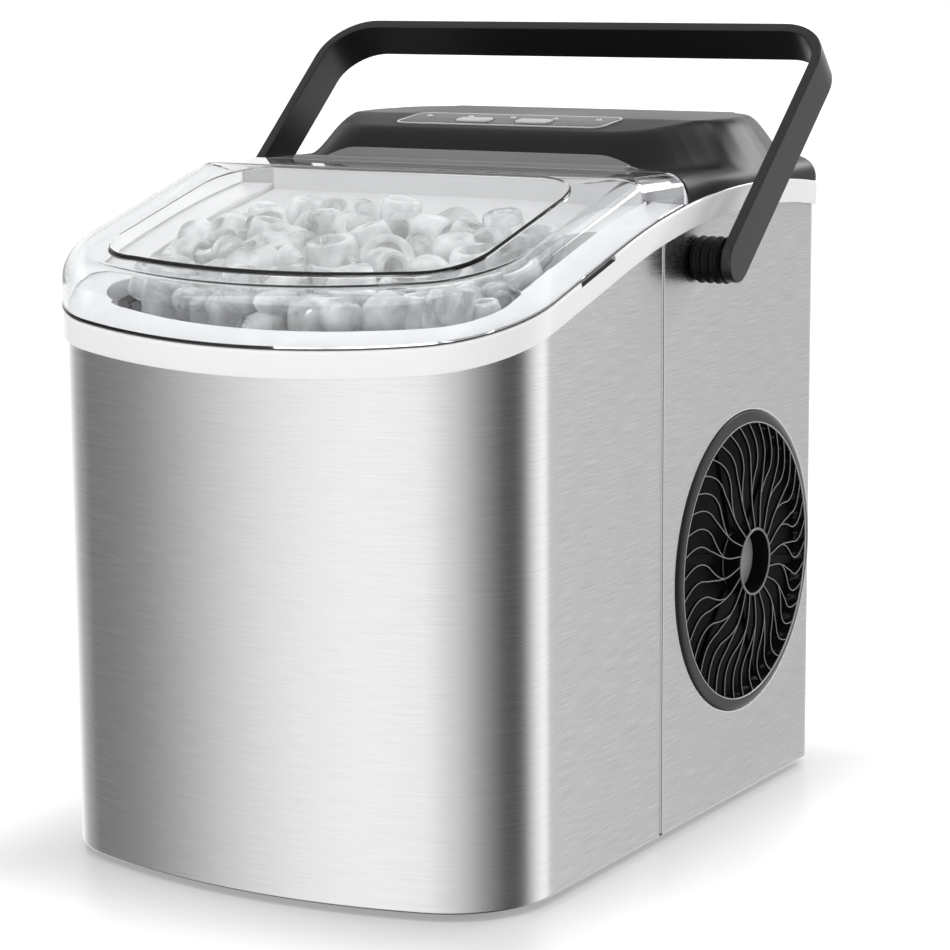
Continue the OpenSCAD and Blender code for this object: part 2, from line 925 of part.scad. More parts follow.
module compressor() {
  color([0.08, 0.08, 0.09]) translate([comp_x, comp_y, 0]) {
    translate([0, 0, 20]) rotate_extrude($fn = 96)
      polygon(concat([[0, 0], [comp_r - 10, 0], [comp_r - 2, 4], [comp_r, 10], [comp_r, 46],
        [comp_r + 1.2, 47], [comp_r + 1.2, 51], [comp_r, 52], [comp_r, 66]],
        [for (a = [15:15:90]) [comp_r * cos(a), 66 + 26 * sin(a)]]));
    translate([comp_r - 3, -12, 50]) cube([12, 24, 34]);
    translate([0, 20, 80]) cylinder(h = stub_top - 80, r = 4.5);
    translate([-20, 0, 80]) cylinder(h = stub_top - 80, r = 5);
    difference() {
      translate([-44, -44, 16]) cube([88, 88, 3.9]);
      for (x = [-38, 38])
        for (y = [-36, 36])
          translate([x, y, 10]) cylinder(h = 12, r = 4);
    }
    translate([0, 0, 19.8]) cylinder(h = 1, r = comp_r - 10);
  }
}

module compressor_mounts() {
  color("black")
    for (x = [-38, 38])
      for (y = [-36, 36])
        translate([comp_x + x, comp_y + y, foot_h + 2.55]) {
          cylinder(h = 10.4, r = 8);
          cylinder(h = 17.5, r = 3.9);
        }
}

// Finned condenser: one tube runs back and forth through the fins
module condenser() {
  front = -2;
  rear = (cond_fins - 1) * fin_pitch + 3;
  r = 3.2;
  color([0.7, 0.7, 0.72]) translate([cond_x, cond_y, cond_z]) {
    for (i = [0:cond_fins - 1])
      translate([0, i * fin_pitch, 0]) cube([18, 0.8, 119]);
    for (i = [0:5])
      rod_y(r, front, rear, 9, 8 + i * tube_pitch);
    for (i = [0:4])
      translate([9, i % 2 == 0 ? front : rear, 8 + i * tube_pitch]) cylinder(h = tube_pitch, r = r);
    for (i = [0:5])
      for (y = [front, rear])
        translate([9, y, 8 + i * tube_pitch]) sphere(r + 0.3);
  }
}

module fan_shroud() {
  x = 81;
  color([0.13, 0.13, 0.14]) {
    difference() {
      union() {
        translate([x, vent_y - 48.5, vent_z - 52]) cube([2, 97, 104]);
        rod_x(fan_r + 3.2, x, 103, vent_y, vent_z);
      }
      rod_x(fan_r + 1.4, x - 5, 110, vent_y, vent_z);
    }
    difference() {
      for (a = [0, 90])
        translate([x, vent_y, vent_z]) rotate([a, 0, 0])
          translate([0, -fan_r - 2, -3]) cube([2, 2 * fan_r + 4, 6]);
      rod_x(6, x - 5, x + 5, vent_y, vent_z);
    }
  }
}

module fan_motor() {
  color([0.2, 0.2, 0.21]) {
    rod_x(17, 50, 80.9, vent_y, vent_z);
    rod_x(3, 80.9, 96, vent_y, vent_z);
  }
}

module fan_blade() {
  blades = 7;
  color([0.85, 0.86, 0.88]) {
    difference() {
      union() {
        rod_x(13, 86, 99, vent_y, vent_z);
        for (i = [0:blades - 1])
          translate([92.5, vent_y, vent_z]) rotate([i * 360 / blades, 0, 0])
            translate([0, 0, 11]) rotate([0, 0, 38])
              translate([-8, -0.9, 0]) cube([16, 1.8, 31]);
      }
      rod_x(3.1, 80, 97, vent_y, vent_z);
    }
  }
}

// Copper pipes: discharge, liquid, hot gas and suction lines
module refrigerant_pipes() {
  r = 2.6;
  start = stub_top + 0.05;
  bend = 190;
  out_y = comp_y + 20;
  cond_end = [cond_x + 9, cond_y + (cond_fins - 1) * fin_pitch + 3];
  suction = [comp_x - 20, comp_y];
  color([0.72, 0.45, 0.28]) {
    pipe([[comp_x, out_y, start], [comp_x, out_y, bend], [cond_end.x, cond_end.y, bend],
      [cond_end.x, cond_end.y, cond_z + 8 + 5 * tube_pitch + 3.55]], r);
    pipe([[comp_x, out_y, bend], [comp_x, out_y, valve_z], [comp_x, drier_y, valve_z],
      [valve_x - 20.05, drier_y, valve_z]], r);
    pipe([[cond_end.x + 4, cond_end.y + 0.6, cond_z + 8], [drier_x, drier_y, cond_z + 8],
      [drier_x, drier_y, drier_z - 0.05]], r);
    pipe([[drier_x, drier_y, drier_z + 66.05], [drier_x, drier_y, evap_z - 20],
      [evap_x, evap_rear + 20, evap_z], [evap_x, evap_rear + 0.05, evap_z]], r);
    pipe([[valve_x + 20.05, drier_y, valve_z], [drier_x, drier_y, valve_z]], r);
    pipe([[suction.x, suction.y, start], [suction.x, suction.y, 200], [-evap_x, evap_rear + 12, 230],
      [-evap_x, evap_rear + 12, evap_z], [-evap_x, evap_rear + 0.05, evap_z]], 3);
  }
}

module filter_drier() {
  color([0.72, 0.45, 0.28]) translate([drier_x, drier_y, drier_z]) {
    cylinder(h = 8, r1 = 3, r2 = 9);
    translate([0, 0, 8]) cylinder(h = 50, r = 9);
    translate([0, 0, 58]) cylinder(h = 8, r1 = 9, r2 = 3);
  }
}

module hot_gas_valve() {
  color([0.75, 0.65, 0.4]) translate([valve_x, drier_y, valve_z - 5]) {
    cylinder(h = 14, r = 8);
    translate([-9, -9, 14]) cube([18, 18, 20]);
    rod_x(3, -20, 20, 0, 5);
  }
}

module cord_gland() {
  color([0.09, 0.09, 0.1]) difference() {
    union() {
      rod_y(6.8, half_d - 12, half_d + 0.1, gland_x, gland_z);
      rod_y(9.5, half_d + 0.05, half_d + 1.9, gland_x, gland_z);
      rod_y(8.6, half_d - 12, half_d - 4, gland_x, gland_z);
    }
    rod_y(cord_r, half_d - 20, half_d + 5, gland_x, gland_z);
  }
}

base_tray();
rubber_feet();
front_panel();
right_panel();
left_panel();
rear_panel();
rear_screws();
top_frame();
top_cover();
control_panel();
start_button();
select_button();
indicator_lights();
control_board();
right_vent_bezel();
right_vent_grille();
right_vent_hub();
left_vent_bezel();
left_vent_grille();
left_vent_hub();
right_pivot_boss();
left_pivot_boss();
handle();
handle_pins();
handle_clips();
lid();
lid_window();
lid_hinge_pins();
ice_basket();
water_tub();
foam_insulation();
evaporator();
ice_guard();
water_tray();
tray_brackets();
tray_motor();
ice_shovel();
ice_sensor();
level_sensor();
level_float();
water_pump();
pump_hose();
drain_hose();
drain_cap();
partition_wall();
compressor();
compressor_mounts();
condenser();
fan_shroud();
fan_motor();
fan_blade();
refrigerant_pipes();
filter_drier();
hot_gas_valve();
cord_gland();
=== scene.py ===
"""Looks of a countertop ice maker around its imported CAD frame. Shapes are worked out in
millimetres in the part's own frame and become metres when a mesh is made."""

import math
import random

import bpy
import bmesh
from mathutils import Matrix, Vector
from mathutils.geometry import delaunay_2d_cdt


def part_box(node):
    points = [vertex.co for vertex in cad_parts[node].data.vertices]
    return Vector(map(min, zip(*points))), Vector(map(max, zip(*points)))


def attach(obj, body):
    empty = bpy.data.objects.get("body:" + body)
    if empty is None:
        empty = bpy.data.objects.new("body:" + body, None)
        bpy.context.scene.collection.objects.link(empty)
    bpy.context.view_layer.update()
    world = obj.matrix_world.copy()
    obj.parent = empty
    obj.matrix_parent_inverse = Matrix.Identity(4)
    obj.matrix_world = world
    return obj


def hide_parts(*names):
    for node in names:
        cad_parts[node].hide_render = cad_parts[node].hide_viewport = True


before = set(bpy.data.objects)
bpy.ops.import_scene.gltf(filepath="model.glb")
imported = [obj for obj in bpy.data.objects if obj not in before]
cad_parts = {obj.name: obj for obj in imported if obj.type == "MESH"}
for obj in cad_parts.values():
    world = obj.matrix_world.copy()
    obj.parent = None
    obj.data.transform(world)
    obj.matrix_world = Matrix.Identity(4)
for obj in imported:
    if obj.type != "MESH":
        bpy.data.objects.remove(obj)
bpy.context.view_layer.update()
MM = 0.001
SHARP = 38  # degrees between faces above which an edge stays sharp
NOISE_RANGE = (0.3, 0.7)  # where nearly all of a noise's values lie


def low(node, axis):
    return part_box(node)[0][axis] / MM


def high(node, axis):
    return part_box(node)[1][axis] / MM


# ---- sizes
half_w = high("right_panel", 0)
half_d = -low("front_panel", 1)
foot_h = low("front_panel", 2)
front_r, corner_r, rear_r = 261.0, 45.0, 8.0
bow_y = front_r - half_d
corner_x = half_w - corner_r
corner_y = bow_y - math.sqrt((front_r - corner_r) ** 2 - corner_x ** 2)
bow_angle = math.degrees(math.atan2(corner_x, bow_y - corner_y))
seam_y, seam_gap = -1.0, 0.9
rear_seam_x = high("rear_panel", 0) + seam_gap

front_z, wave_slope, wave_y, wave_r = 209.3, 16.6, -37.0, 428.0
wave_tan = math.tan(math.radians(wave_slope))
wave_cy = wave_y + wave_r * math.sin(math.radians(wave_slope))
wave_cz = front_z + wave_tan * (wave_y + half_d) - wave_r * math.cos(math.radians(wave_slope))
band_h, band_out, deck_w, deck_t = 10.7, 2.0, 17.0, 3.0

lid_out, lid_r, lid_t, lid_gap = 1.5, 10.0, 2.2, 0.5
lid_top, lid_flat_y, lid_rear = 279.0, -18.0, 16.3
lid_tan = math.tan(math.radians(15.9))
hinge_y, hinge_r = 25.5, 4.5
hinge_z = lid_top - hinge_r
tongue_w = 83.0

crown_rise = 16.23
wing_z, cover_front, cover_rear = high("top_cover", 2) - crown_rise, 17.9, half_d + lid_out
slot_w, full_w = tongue_w + 0.6, half_w + lid_out
plateau_front, plateau_low, panel_slope, panel_run = 46.0, 293.0, 6.9, 30.0
plateau_step = plateau_front + panel_run
plateau_high = plateau_low + panel_run * math.tan(math.radians(panel_slope))
foot_y, flank_w, cover_r = 31.4, 21.0, 9.5
panel_y = 63.5
panel_z = plateau_low + (panel_y - plateau_front) * math.tan(math.radians(panel_slope))

pivot_y, pivot_z, arm_len, handle_lean = 30.0, 242.6, 132.0, 48.5
bar_w, bar_t, arm_x, bend_r, pin_hole = 18.0, 4.8, 129.3, 24.0, 5.3
vent_y, vent_z, vent_r, grille_r, hub_r, dome = 76.7, 107.0, 65.5, 60.5, 14.6, 5.0


# ---- meshes
class Shape:
    """Gathers grids and filled outlines in millimetres, then makes one mesh of them."""

    def __init__(self):
        self.verts = []
        self.faces = []
        self.slots = []

    def grid(self, rows, close_rows=False, close_cols=False, slot=0):
        """Faces between neighbouring rows of points; slot is their place in the piece's materials."""
        base = len(self.verts)
        n = len(rows[0])
        for row in rows:
            self.verts.extend(row)
        for i in range(len(rows) if close_rows else len(rows) - 1):
            for j in range(n if close_cols else n - 1):
                a, b = i, (i + 1) % len(rows)
                c, d = j, (j + 1) % n
                self.faces.append((base + a * n + c, base + a * n + d, base + b * n + d, base + b * n + c))
                self.slots.append(slot)
        return self

    def fill(self, loops, place, crease=()):
        """Fills the flat region inside an odd number of the loops, and keeps an edge along the crease."""
        points, edges = [], []
        for loop in loops:
            start = len(points)
            points.extend(Vector(p) for p in loop)
            edges.extend((start + i, start + (i + 1) % len(loop)) for i in range(len(loop)))
        if crease:
            points.extend(Vector(p) for p in crease)
            edges.append((len(points) - 2, len(points) - 1))
        out = delaunay_2d_cdt(points, edges, [], 0, 1e-5)
        base = len(self.verts)
        self.verts.extend(place(p.x, p.y) for p in out[0])
        for face in out[2]:
            middle = sum((out[0][i] for i in face), Vector((0, 0))) / len(face)
            if sum(inside(middle, loop) for loop in loops) % 2:
                self.faces.append(tuple(base + i for i in face))
                self.slots.append(0)
        return self

    def lathe(self, profile, place, steps=64, slot=0):
        """Turns (radius, height) points about the local Z axis."""
        rows = []
        for i in range(steps):
            a = 2 * math.pi * i / steps
            rows.append([place @ Vector((r * math.cos(a), r * math.sin(a), h)) for r, h in profile])
        return self.grid(rows, close_rows=True, slot=slot)

    def box(self, lo, hi, edge=0.6, place=Matrix()):
        """A block with chamfered edges."""
        mesh = bmesh.new()
        bmesh.ops.create_cube(mesh, size=1)
        size = [h - l for l, h in zip(lo, hi)]
        for v in mesh.verts:
            v.co = Vector([(l + h) / 2 + c * s for l, h, c, s in zip(lo, hi, v.co, size)])
        bmesh.ops.bevel(mesh, geom=mesh.edges[:], offset=edge, segments=3, profile=0.5, affect="EDGES")
        base = len(self.verts)
        mesh.verts.index_update()
        self.verts.extend(place @ v.co for v in mesh.verts)
        for f in mesh.faces:
            self.faces.append(tuple(base + v.index for v in f.verts))
            self.slots.append(0)
        mesh.free()
        return self

    def piece(self, name, body, material, slot, replaces=(), sharp=SHARP, thick=0.0):
        """Makes the mesh into an object; a list of materials is in the order of the face slots."""
        materials = material if isinstance(material, list) else [material]
        mesh = bpy.data.meshes.new(name)
        mesh.from_pydata([[c * MM for c in v] for v in self.verts], [], self.faces)
        mesh.polygons.foreach_set("material_index", self.slots)
        clean(mesh, weld=2e-6, thin=1e-6)
        for m in materials:
            mesh.materials.append(m)
        obj = add_object(mesh, sharp)
        if thick:
            shell = obj.modifiers.new("thickness", "SOLIDIFY")
            shell.thickness = thick * MM
            shell.offset = -1
        declare(obj, body, replaces)


def clean(mesh, weld, thin):
    """Joins points closer than weld, drops edges shorter than thin, and turns every face outward."""
    work = bmesh.new()
    work.from_mesh(mesh)
    bmesh.ops.remove_doubles(work, verts=work.verts, dist=weld)
    bmesh.ops.dissolve_degenerate(work, edges=work.edges, dist=thin)
    bmesh.ops.recalc_face_normals(work, faces=work.faces)
    work.to_mesh(mesh)
    work.free()


def link(name, data):
    """Makes an object of a mesh, curve, light or camera and puts it in the scene."""
    obj = bpy.data.objects.new(name, data)
    bpy.context.scene.collection.objects.link(obj)
    return obj


def add_object(mesh, sharp):
    """Puts the mesh in the scene, smooth but for edges sharper than the given angle."""
    obj = link(mesh.name, mesh)
    mesh.shade_smooth()
    mesh.set_sharp_from_angle(angle=math.radians(sharp))
    weigh = obj.modifiers.new("normals", "WEIGHTED_NORMAL")
    weigh.keep_sharp = True
    weigh.weight = 60
    return obj


def declare(obj, body, replaces):
    """Hangs a piece on its body's empty and hides the CAD nodes it stands for."""
    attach(obj, body)
    if replaces:
        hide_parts(*replaces)


def inside(p, loop):
    """Whether a plan point is inside a closed outline."""
    hit = False
    for i, a in enumerate(loop):
        b = loop[i - 1]
        if (a[1] > p[1]) != (b[1] > p[1]) and p[0] < (b[0] - a[0]) * (p[1] - a[1]) / (b[1] - a[1]) + a[0]:
            hit = not hit
    return hit


def spread(a, b, steps):
    return [a + (b - a) * i / steps for i in range(steps + 1)]


def arc(cx, cy, r, start, end, steps):
    return [(cx + r * math.cos(math.radians(a)), cy + r * math.sin(math.radians(a)))
            for a in spread(start, end, steps)]


def ring(cx, cy, r, steps):
    """A circle's points, without the first one again."""
    return arc(cx, cy, r, 0, 360, steps)[:-1]


def mirrored(points):
    """The points of a plan's other half, back to front."""
    return [(-x, y) for x, y in reversed(points)]


def plate(name, outline, holes, thick, bevel, place, body, material, replaces=()):
    """A flat plate with holes and rounded edges, its outer face at local z = 0."""
    curve = bpy.data.curves.new(name, "CURVE")
    curve.dimensions = "2D"
    curve.fill_mode = "BOTH"
    curve.extrude = (thick / 2 - bevel) * MM
    curve.bevel_depth = bevel * MM
    curve.bevel_resolution = 2
    curve.offset = -bevel * MM
    for loop in [outline] + list(holes):
        spline = curve.splines.new("POLY")
        spline.points.add(len(loop) - 1)
        for point, (x, y) in zip(spline.points, loop):
            point.co = (x * MM, y * MM, 0, 1)
        spline.use_cyclic_u = True
    source = link(name + "_outline", curve)
    bpy.context.view_layer.update()
    graph = bpy.context.evaluated_depsgraph_get()
    mesh = bpy.data.meshes.new_from_object(source.evaluated_get(graph))
    bpy.data.objects.remove(source)
    mesh.name = name
    centre = place @ Matrix.Translation((0, 0, -thick / 2))
    centre.translation = [c * MM for c in centre.translation]
    mesh.transform(centre)
    clean(mesh, weld=1e-6, thin=1e-7)
    mesh.materials.clear()
    mesh.materials.append(material)
    declare(add_object(mesh, SHARP), body, replaces)


# ---- plan and wave
notch_ends = (-72.5, -45.5)
side_step = 3.5


def front_run(off, y_end, extra=()):
    """Plan points from the right side at y_end, forward round the front, to the left side."""
    steps = max(2, int((y_end - corner_y) / side_step))
    ys = sorted(set(spread(corner_y, y_end, steps)) | set(extra), reverse=True)
    right = [(half_w + off, y) for y in ys[:-1]]
    corner = arc(corner_x, corner_y, corner_r + off, 0, -(90 - bow_angle), 22)
    bow = arc(0, bow_y, front_r + off, -(90 - bow_angle), -90, 18)
    half = right + corner[:-1] + bow
    return half + mirrored(half[:-1])


def rear_run(off, y_start):
    """Plan points from the right side at y_start, round the rear, to the left side."""
    r = max(rear_r + off, 1.0)
    cx, cy = half_w + off - r, half_d + off - r
    half = [(half_w + off, y) for y in spread(y_start, cy, 34)[:-1]]
    half += arc(cx, cy, r, 0, 90, 10)
    half += [(x, half_d + off) for x in spread(cx, 0, 12)[1:]]
    return half + mirrored(half[:-1])


def wave_at(y, h):
    """Height of the wave at y, raised h square to itself."""
    start = wave_cy - (wave_r + h) * math.sin(math.radians(wave_slope))
    if y < start:
        z = wave_cz + (wave_r + h) * math.cos(math.radians(wave_slope))
        return z - wave_tan * (start - y)
    return wave_cz + math.sqrt((wave_r + h) ** 2 - (y - wave_cy) ** 2)


def lid_z(y):
    return lid_top + lid_tan * min(y - lid_flat_y, 0)


# ---- materials
def feed(tree, node, inputs):
    """Gives each input its value, or links it when the value is another node's output."""
    for key, value in inputs.items():
        if isinstance(value, bpy.types.NodeSocket):
            tree.links.new(value, node.inputs[key])
        else:
            node.inputs[key].default_value = value


def add_node(tree, kind, inputs=None, **settings):
    """Adds a shader node and returns its outputs."""
    node = tree.nodes.new("ShaderNode" + kind)
    for key, value in settings.items():
        setattr(node, key, value)
    feed(tree, node, inputs or {})
    return node.outputs


def remap(tree, value, source, target, kind="LINEAR"):
    """Maps one range of values to another."""
    inputs = {"Value": value, "From Min": source[0], "From Max": source[1]}
    inputs.update({"To Min": target[0], "To Max": target[1]})
    return add_node(tree, "MapRange", inputs, interpolation_type=kind)["Result"]


def ramp(tree, value, stops):
    """A colour ramp through (position, colour) stops."""
    node = tree.nodes.new("ShaderNodeValToRGB")
    points = node.color_ramp.elements
    points.remove(points[-1])
    points[0].position, points[0].color = stops[0]
    for position, color in stops[1:]:
        points.new(position).color = color
    feed(tree, node, {"Fac": value})
    return node.outputs["Color"]


def texture(tree, scale, stretch=(1, 1, 1), detail=4.0):
    """Noise over a piece, finer along the axes with a larger stretch."""
    place = add_node(tree, "Mapping", {"Scale": stretch, "Vector": add_node(tree, "TexCoord")["Object"]})
    return add_node(tree, "TexNoise", {"Scale": scale, "Detail": detail, "Vector": place["Vector"]})[0]


def nodes_of(m):
    tree = m.node_tree
    return tree, tree.nodes["Principled BSDF"]


def material(name, color, rough, metal=0.0, **extra):
    m = bpy.data.materials.new(name)
    m.use_nodes = True
    feed(*nodes_of(m), {"Base Color": (*color, 1), "Roughness": rough, "Metallic": metal})
    feed(*nodes_of(m), {key.replace("_", " "): value for key, value in extra.items()})
    return m


def add_bump(m, height, strength, distance):
    tree, shader = nodes_of(m)
    bump = add_node(tree, "Bump", {"Strength": strength, "Distance": distance, "Height": height})
    feed(tree, shader, {"Normal": bump["Normal"]})


def vary(m, noise, socket, dark, light):
    """Drives a socket between two values by a noise."""
    tree, shader = nodes_of(m)
    feed(tree, shader, {socket: remap(tree, noise, NOISE_RANGE, (dark, light))})


def tint(m, noise, dark, light):
    """Drives the base colour between two colours by a noise."""
    tree, shader = nodes_of(m)
    stops = [(NOISE_RANGE[0], (*dark, 1)), (NOISE_RANGE[1], (*light, 1))]
    feed(tree, shader, {"Base Color": ramp(tree, noise, stops)})


def plastic(name, color, rough, grain=900.0, depth=0.00002, spread_by=0.12, **extra):
    """Moulded plastic: a fine grain in the surface and slow changes of gloss and tone."""
    m = material(name, color, rough, **extra)
    add_bump(m, texture(m.node_tree, grain), 0.35, depth)
    slow = texture(m.node_tree, 14.0, detail=6.0)
    vary(m, slow, "Roughness", rough * 0.88, min(1.0, rough * 1.12))
    tint(m, slow, [c * (1 - spread_by) for c in color], [min(1, c * (1 + spread_by)) for c in color])
    return m


def metal(name, color, rough, stretch=(1, 1, 1), scale=300.0, depth=0.00001):
    m = material(name, color, rough, 1.0)
    lines = texture(m.node_tree, scale, stretch)
    add_bump(m, lines, 0.3, depth)
    vary(m, lines, "Roughness", rough * 0.8, rough * 1.25)
    tint(m, texture(m.node_tree, 20.0, detail=6.0), [c * 0.9 for c in color], color)
    return m


def brushed(name, color, rough):
    """Brushed sheet steel: horizontal hair lines and highlights that stretch upward."""
    m = material(name, color, rough, 1.0, Anisotropic=0.8, Anisotropic_Rotation=0.25)
    tree, shader = nodes_of(m)
    lines = texture(tree, 55.0, (1, 1, 60), detail=3.0)
    add_bump(m, texture(tree, 160.0, (1, 1, 45), detail=2.0), 0.13, 0.00006)
    vary(m, lines, "Roughness", rough * 0.85, rough * 1.2)
    tint(m, lines, [c * 0.89 for c in color], [min(1, c * 1.05) for c in color])
    tangent = add_node(tree, "Tangent", direction_type="RADIAL", axis="Z")
    feed(tree, shader, {"Tangent": tangent["Tangent"]})
    return m


def clear(name, color, rough):
    """Clear moulded plastic that lets light through without a dark shadow."""
    m = bpy.data.materials.new(name)
    m.use_nodes = True
    tree = m.node_tree
    tree.nodes.clear()
    haze = remap(tree, texture(tree, 60.0, detail=5.0), (0, 1), (rough * 0.5, rough * 1.5))
    glass = add_node(tree, "BsdfGlass", {"Color": (*color, 1), "IOR": 1.49, "Roughness": haze})
    pane = add_node(tree, "BsdfTransparent", {"Color": (*color, 1)})
    shadow = add_node(tree, "LightPath")["Is Shadow Ray"]
    mix = add_node(tree, "MixShader", {"Fac": shadow, 1: glass["BSDF"], 2: pane["BSDF"]})
    add_node(tree, "OutputMaterial", {"Surface": mix["Shader"]})
    return m


STEEL = brushed("brushed_steel", (0.80, 0.80, 0.80), 0.24)
WHITE = plastic("white_gloss", (0.79, 0.79, 0.795), 0.13, depth=0.000004, spread_by=0.02, Coat_Weight=0.6)
WHITE_IN = plastic("white_inside", (0.80, 0.80, 0.805), 0.35, spread_by=0.04)
GUARD = plastic("guard_white", (0.66, 0.66, 0.665), 0.4, spread_by=0.04)
BLACK = plastic("black_satin", (0.006, 0.006, 0.007), 0.38, depth=0.00001, spread_by=0.15,
                Specular_IOR_Level=0.32)
HANDLE = plastic("black_handle", (0.010, 0.010, 0.011), 0.34, grain=700.0, depth=0.00001, spread_by=0.15,
                 Specular_IOR_Level=0.58)
BOSS = plastic("boss_black", (0.004, 0.004, 0.004), 0.45, spread_by=0.12, Specular_IOR_Level=0.18)
PANEL = plastic("panel_black", (0.014, 0.014, 0.016), 0.22, depth=0.000005, spread_by=0.1,
                Specular_IOR_Level=0.4)
RAIL = plastic("grey_rail", (0.145, 0.145, 0.15), 0.35, spread_by=0.08)
WALL = plastic("grey_wall", (0.42, 0.42, 0.43), 0.4, spread_by=0.08)
BUTTON = plastic("grey_button", (0.42, 0.42, 0.43), 0.30, spread_by=0.06)
# pale grey painted at the vent holes' edge as the highlight that edge catches
HOLE_EDGE_HIGHLIGHT = plastic("painted_hole_edge_highlight", (0.78, 0.78, 0.79), 0.35, spread_by=0.05)
# near-black; on the ribs' flanks and the seam strips it is painted shade
VENT = plastic("vent_black", (0.003, 0.003, 0.003), 0.55, spread_by=0.12, Specular_IOR_Level=0.08)
BEZEL = plastic("bezel_black", (0.010, 0.010, 0.011), 0.30, spread_by=0.12)
SPOKE = plastic("spoke_grey", (0.18, 0.18, 0.185), 0.42, spread_by=0.08)
HUB = plastic("hub_grey", (0.30, 0.30, 0.31), 0.34, spread_by=0.08)
LIGHT = plastic("light_lens", (0.42, 0.43, 0.44), 0.25, spread_by=0.05)
PIN = metal("steel_pin", (0.72, 0.72, 0.73), 0.25)
LID = clear("clear_lid", (0.955, 0.959, 0.963), 0.008)
PANE = clear("clear_window", (0.985, 0.988, 0.990), 0.006)
ICE = plastic("ice", (0.975, 0.985, 0.99), 0.14, grain=170.0, depth=0.0006, spread_by=0.01, IOR=1.31)
vary(ICE, texture(ICE.node_tree, 70.0, detail=3.0), "Transmission Weight", 0.35, 0.95)
BASKET = clear("clear_basket", (0.98, 0.985, 0.99), 0.03)
TRAY = clear("clear_tray", (0.94, 0.955, 0.96), 0.06)
RUBBER = plastic("rubber", (0.02, 0.02, 0.02), 0.7, grain=500.0, depth=0.00008)
BASE = metal("painted_base", (0.30, 0.31, 0.32), 0.5, scale=700.0, depth=0.00003)
NICKEL = metal("nickel", (0.70, 0.69, 0.66), 0.2)
COPPER = metal("copper", (0.72, 0.36, 0.22), 0.28)
ALUMINIUM = metal("aluminium", (0.75, 0.76, 0.77), 0.32, (1, 1, 20))
MOTOR = metal("motor_grey", (0.42, 0.43, 0.44), 0.42)
ENAMEL = plastic("black_enamel", (0.015, 0.015, 0.016), 0.32, grain=300.0, depth=0.00006)
HOSE = plastic("hose", (0.55, 0.56, 0.55), 0.45, grain=400.0)
FOAM = plastic("foam", (0.75, 0.74, 0.70), 0.9, grain=350.0, depth=0.0003)
BOARD = plastic("board_green", (0.02, 0.14, 0.06), 0.4, grain=500.0)
PRINT = plastic("printed_line", (0.50, 0.50, 0.51), 0.4, spread_by=0.05)
FAN = plastic("fan_white", (0.70, 0.70, 0.70), 0.4)


# ---- steel skins
# (offset, height) pairs up the folded lower edge of a skin, and the skins' top below the wave
lower_fold = ((-3.0, 0.0), (-1.0, 0.0), (-0.4, 0.15), (-0.1, 0.5), (0.0, 1.0))
fold_h, skin_top, hem = 1.0, -0.1, 0.8
fold_turns = (0.35, 0.75, 1.15)


def front_plan(off):
    edge = seam_y - seam_gap / 2
    fold = [(half_w - 4 + off, edge), (half_w - 1 + off, edge)]
    fold += [(half_w - 1 + math.sin(a) + off, edge - 1 + math.cos(a)) for a in fold_turns]
    return fold + front_run(off, edge - 1.0) + mirrored(fold)


def front_skin():
    """The front sheet: the folded lower edge, then plain sheet up to the wave."""
    rows = [[(x, y, foot_h + dz) for x, y in front_plan(off)] for off, dz in lower_fold]
    foot = foot_h + fold_h
    for k in range(1, 7):
        rows.append([(x, y, foot + (wave_at(y, skin_top) - foot) * k / 6) for x, y in front_plan(0.0)])
    rows.append([(x, y, wave_at(y, skin_top)) for x, y in front_plan(-1.0)])
    Shape().grid(rows).piece("front_skin", "case", STEEL, "steel", ["front_panel"], thick=0.7)


def side_skin(s, side):
    """A side's sheet with its vent and pivot holes, between two folds."""
    edge = seam_y + seam_gap / 2
    near, far = edge + 1.0, half_d - rear_r
    shape = Shape()
    ys = spread(near, far, 40)
    top = [(y, wave_at(y, skin_top)) for y in reversed(ys)]
    outline = [(near, foot_h + fold_h), (far, foot_h + fold_h)] + top
    vent = ring(vent_y, vent_z, vent_r + 0.9, 96)
    boss = ring(pivot_y, pivot_z, 8.2, 32)
    shape.fill([outline, vent, boss], lambda y, z: (s * half_w, y, z))
    for loop in (vent, boss):
        shape.grid([[(s * (half_w - d), y, z) for y, z in loop + loop[:1]] for d in (0, hem)])
    folds = [(half_w - 4, edge), (half_w - 1, edge)]
    folds += [(half_w - 1 + math.sin(a), near - math.cos(a)) for a in fold_turns]
    folds += [(half_w, near)]
    rear = arc(half_w - rear_r, half_d - rear_r, rear_r, 0, 90, 12)
    rear += [(rear_seam_x, half_d), (rear_seam_x - 0.2, half_d - 1), (rear_seam_x - 0.2, half_d - 3)]
    for run in (folds, rear):
        low_row = [(s * x, y, foot_h + fold_h) for x, y in run]
        top_row = [(s * x, y, wave_at(y, skin_top)) for x, y in run]
        shape.grid([low_row, top_row])
    for run in ([(half_w, y) for y in ys], rear):
        shape.grid([[(s * (x + off), min(y, half_d + off), foot_h + dz) for x, y in run]
                    for off, dz in lower_fold])
    shape.grid([[(s * (half_w - d), y, wave_at(y, skin_top)) for y in ys] for d in (0, hem)])
    shape.piece(side + "_skin", "case", STEEL, "steel", [side + "_panel"])


def seam_shade_strips():
    """Black strips set into the seams between the front sheet and the sides: painted shade for the shadow
    inside the seam gaps.
    """
    shape = Shape()
    half = seam_gap / 2 - 0.01
    for s in (-1, 1):
        x = s * (half_w - 3.3)
        shape.box((x - 0.3, seam_y - half, foot_h + 2), (x + 0.3, seam_y + half, wave_at(seam_y, -0.5)), 0.1)
    # the near-black of these strips paints the shade inside the seams
    shape.piece("seam_shade_strips", "case", VENT, "vent_black")


front_skin()
side_skin(1, "right")
side_skin(-1, "left")
seam_shade_strips()

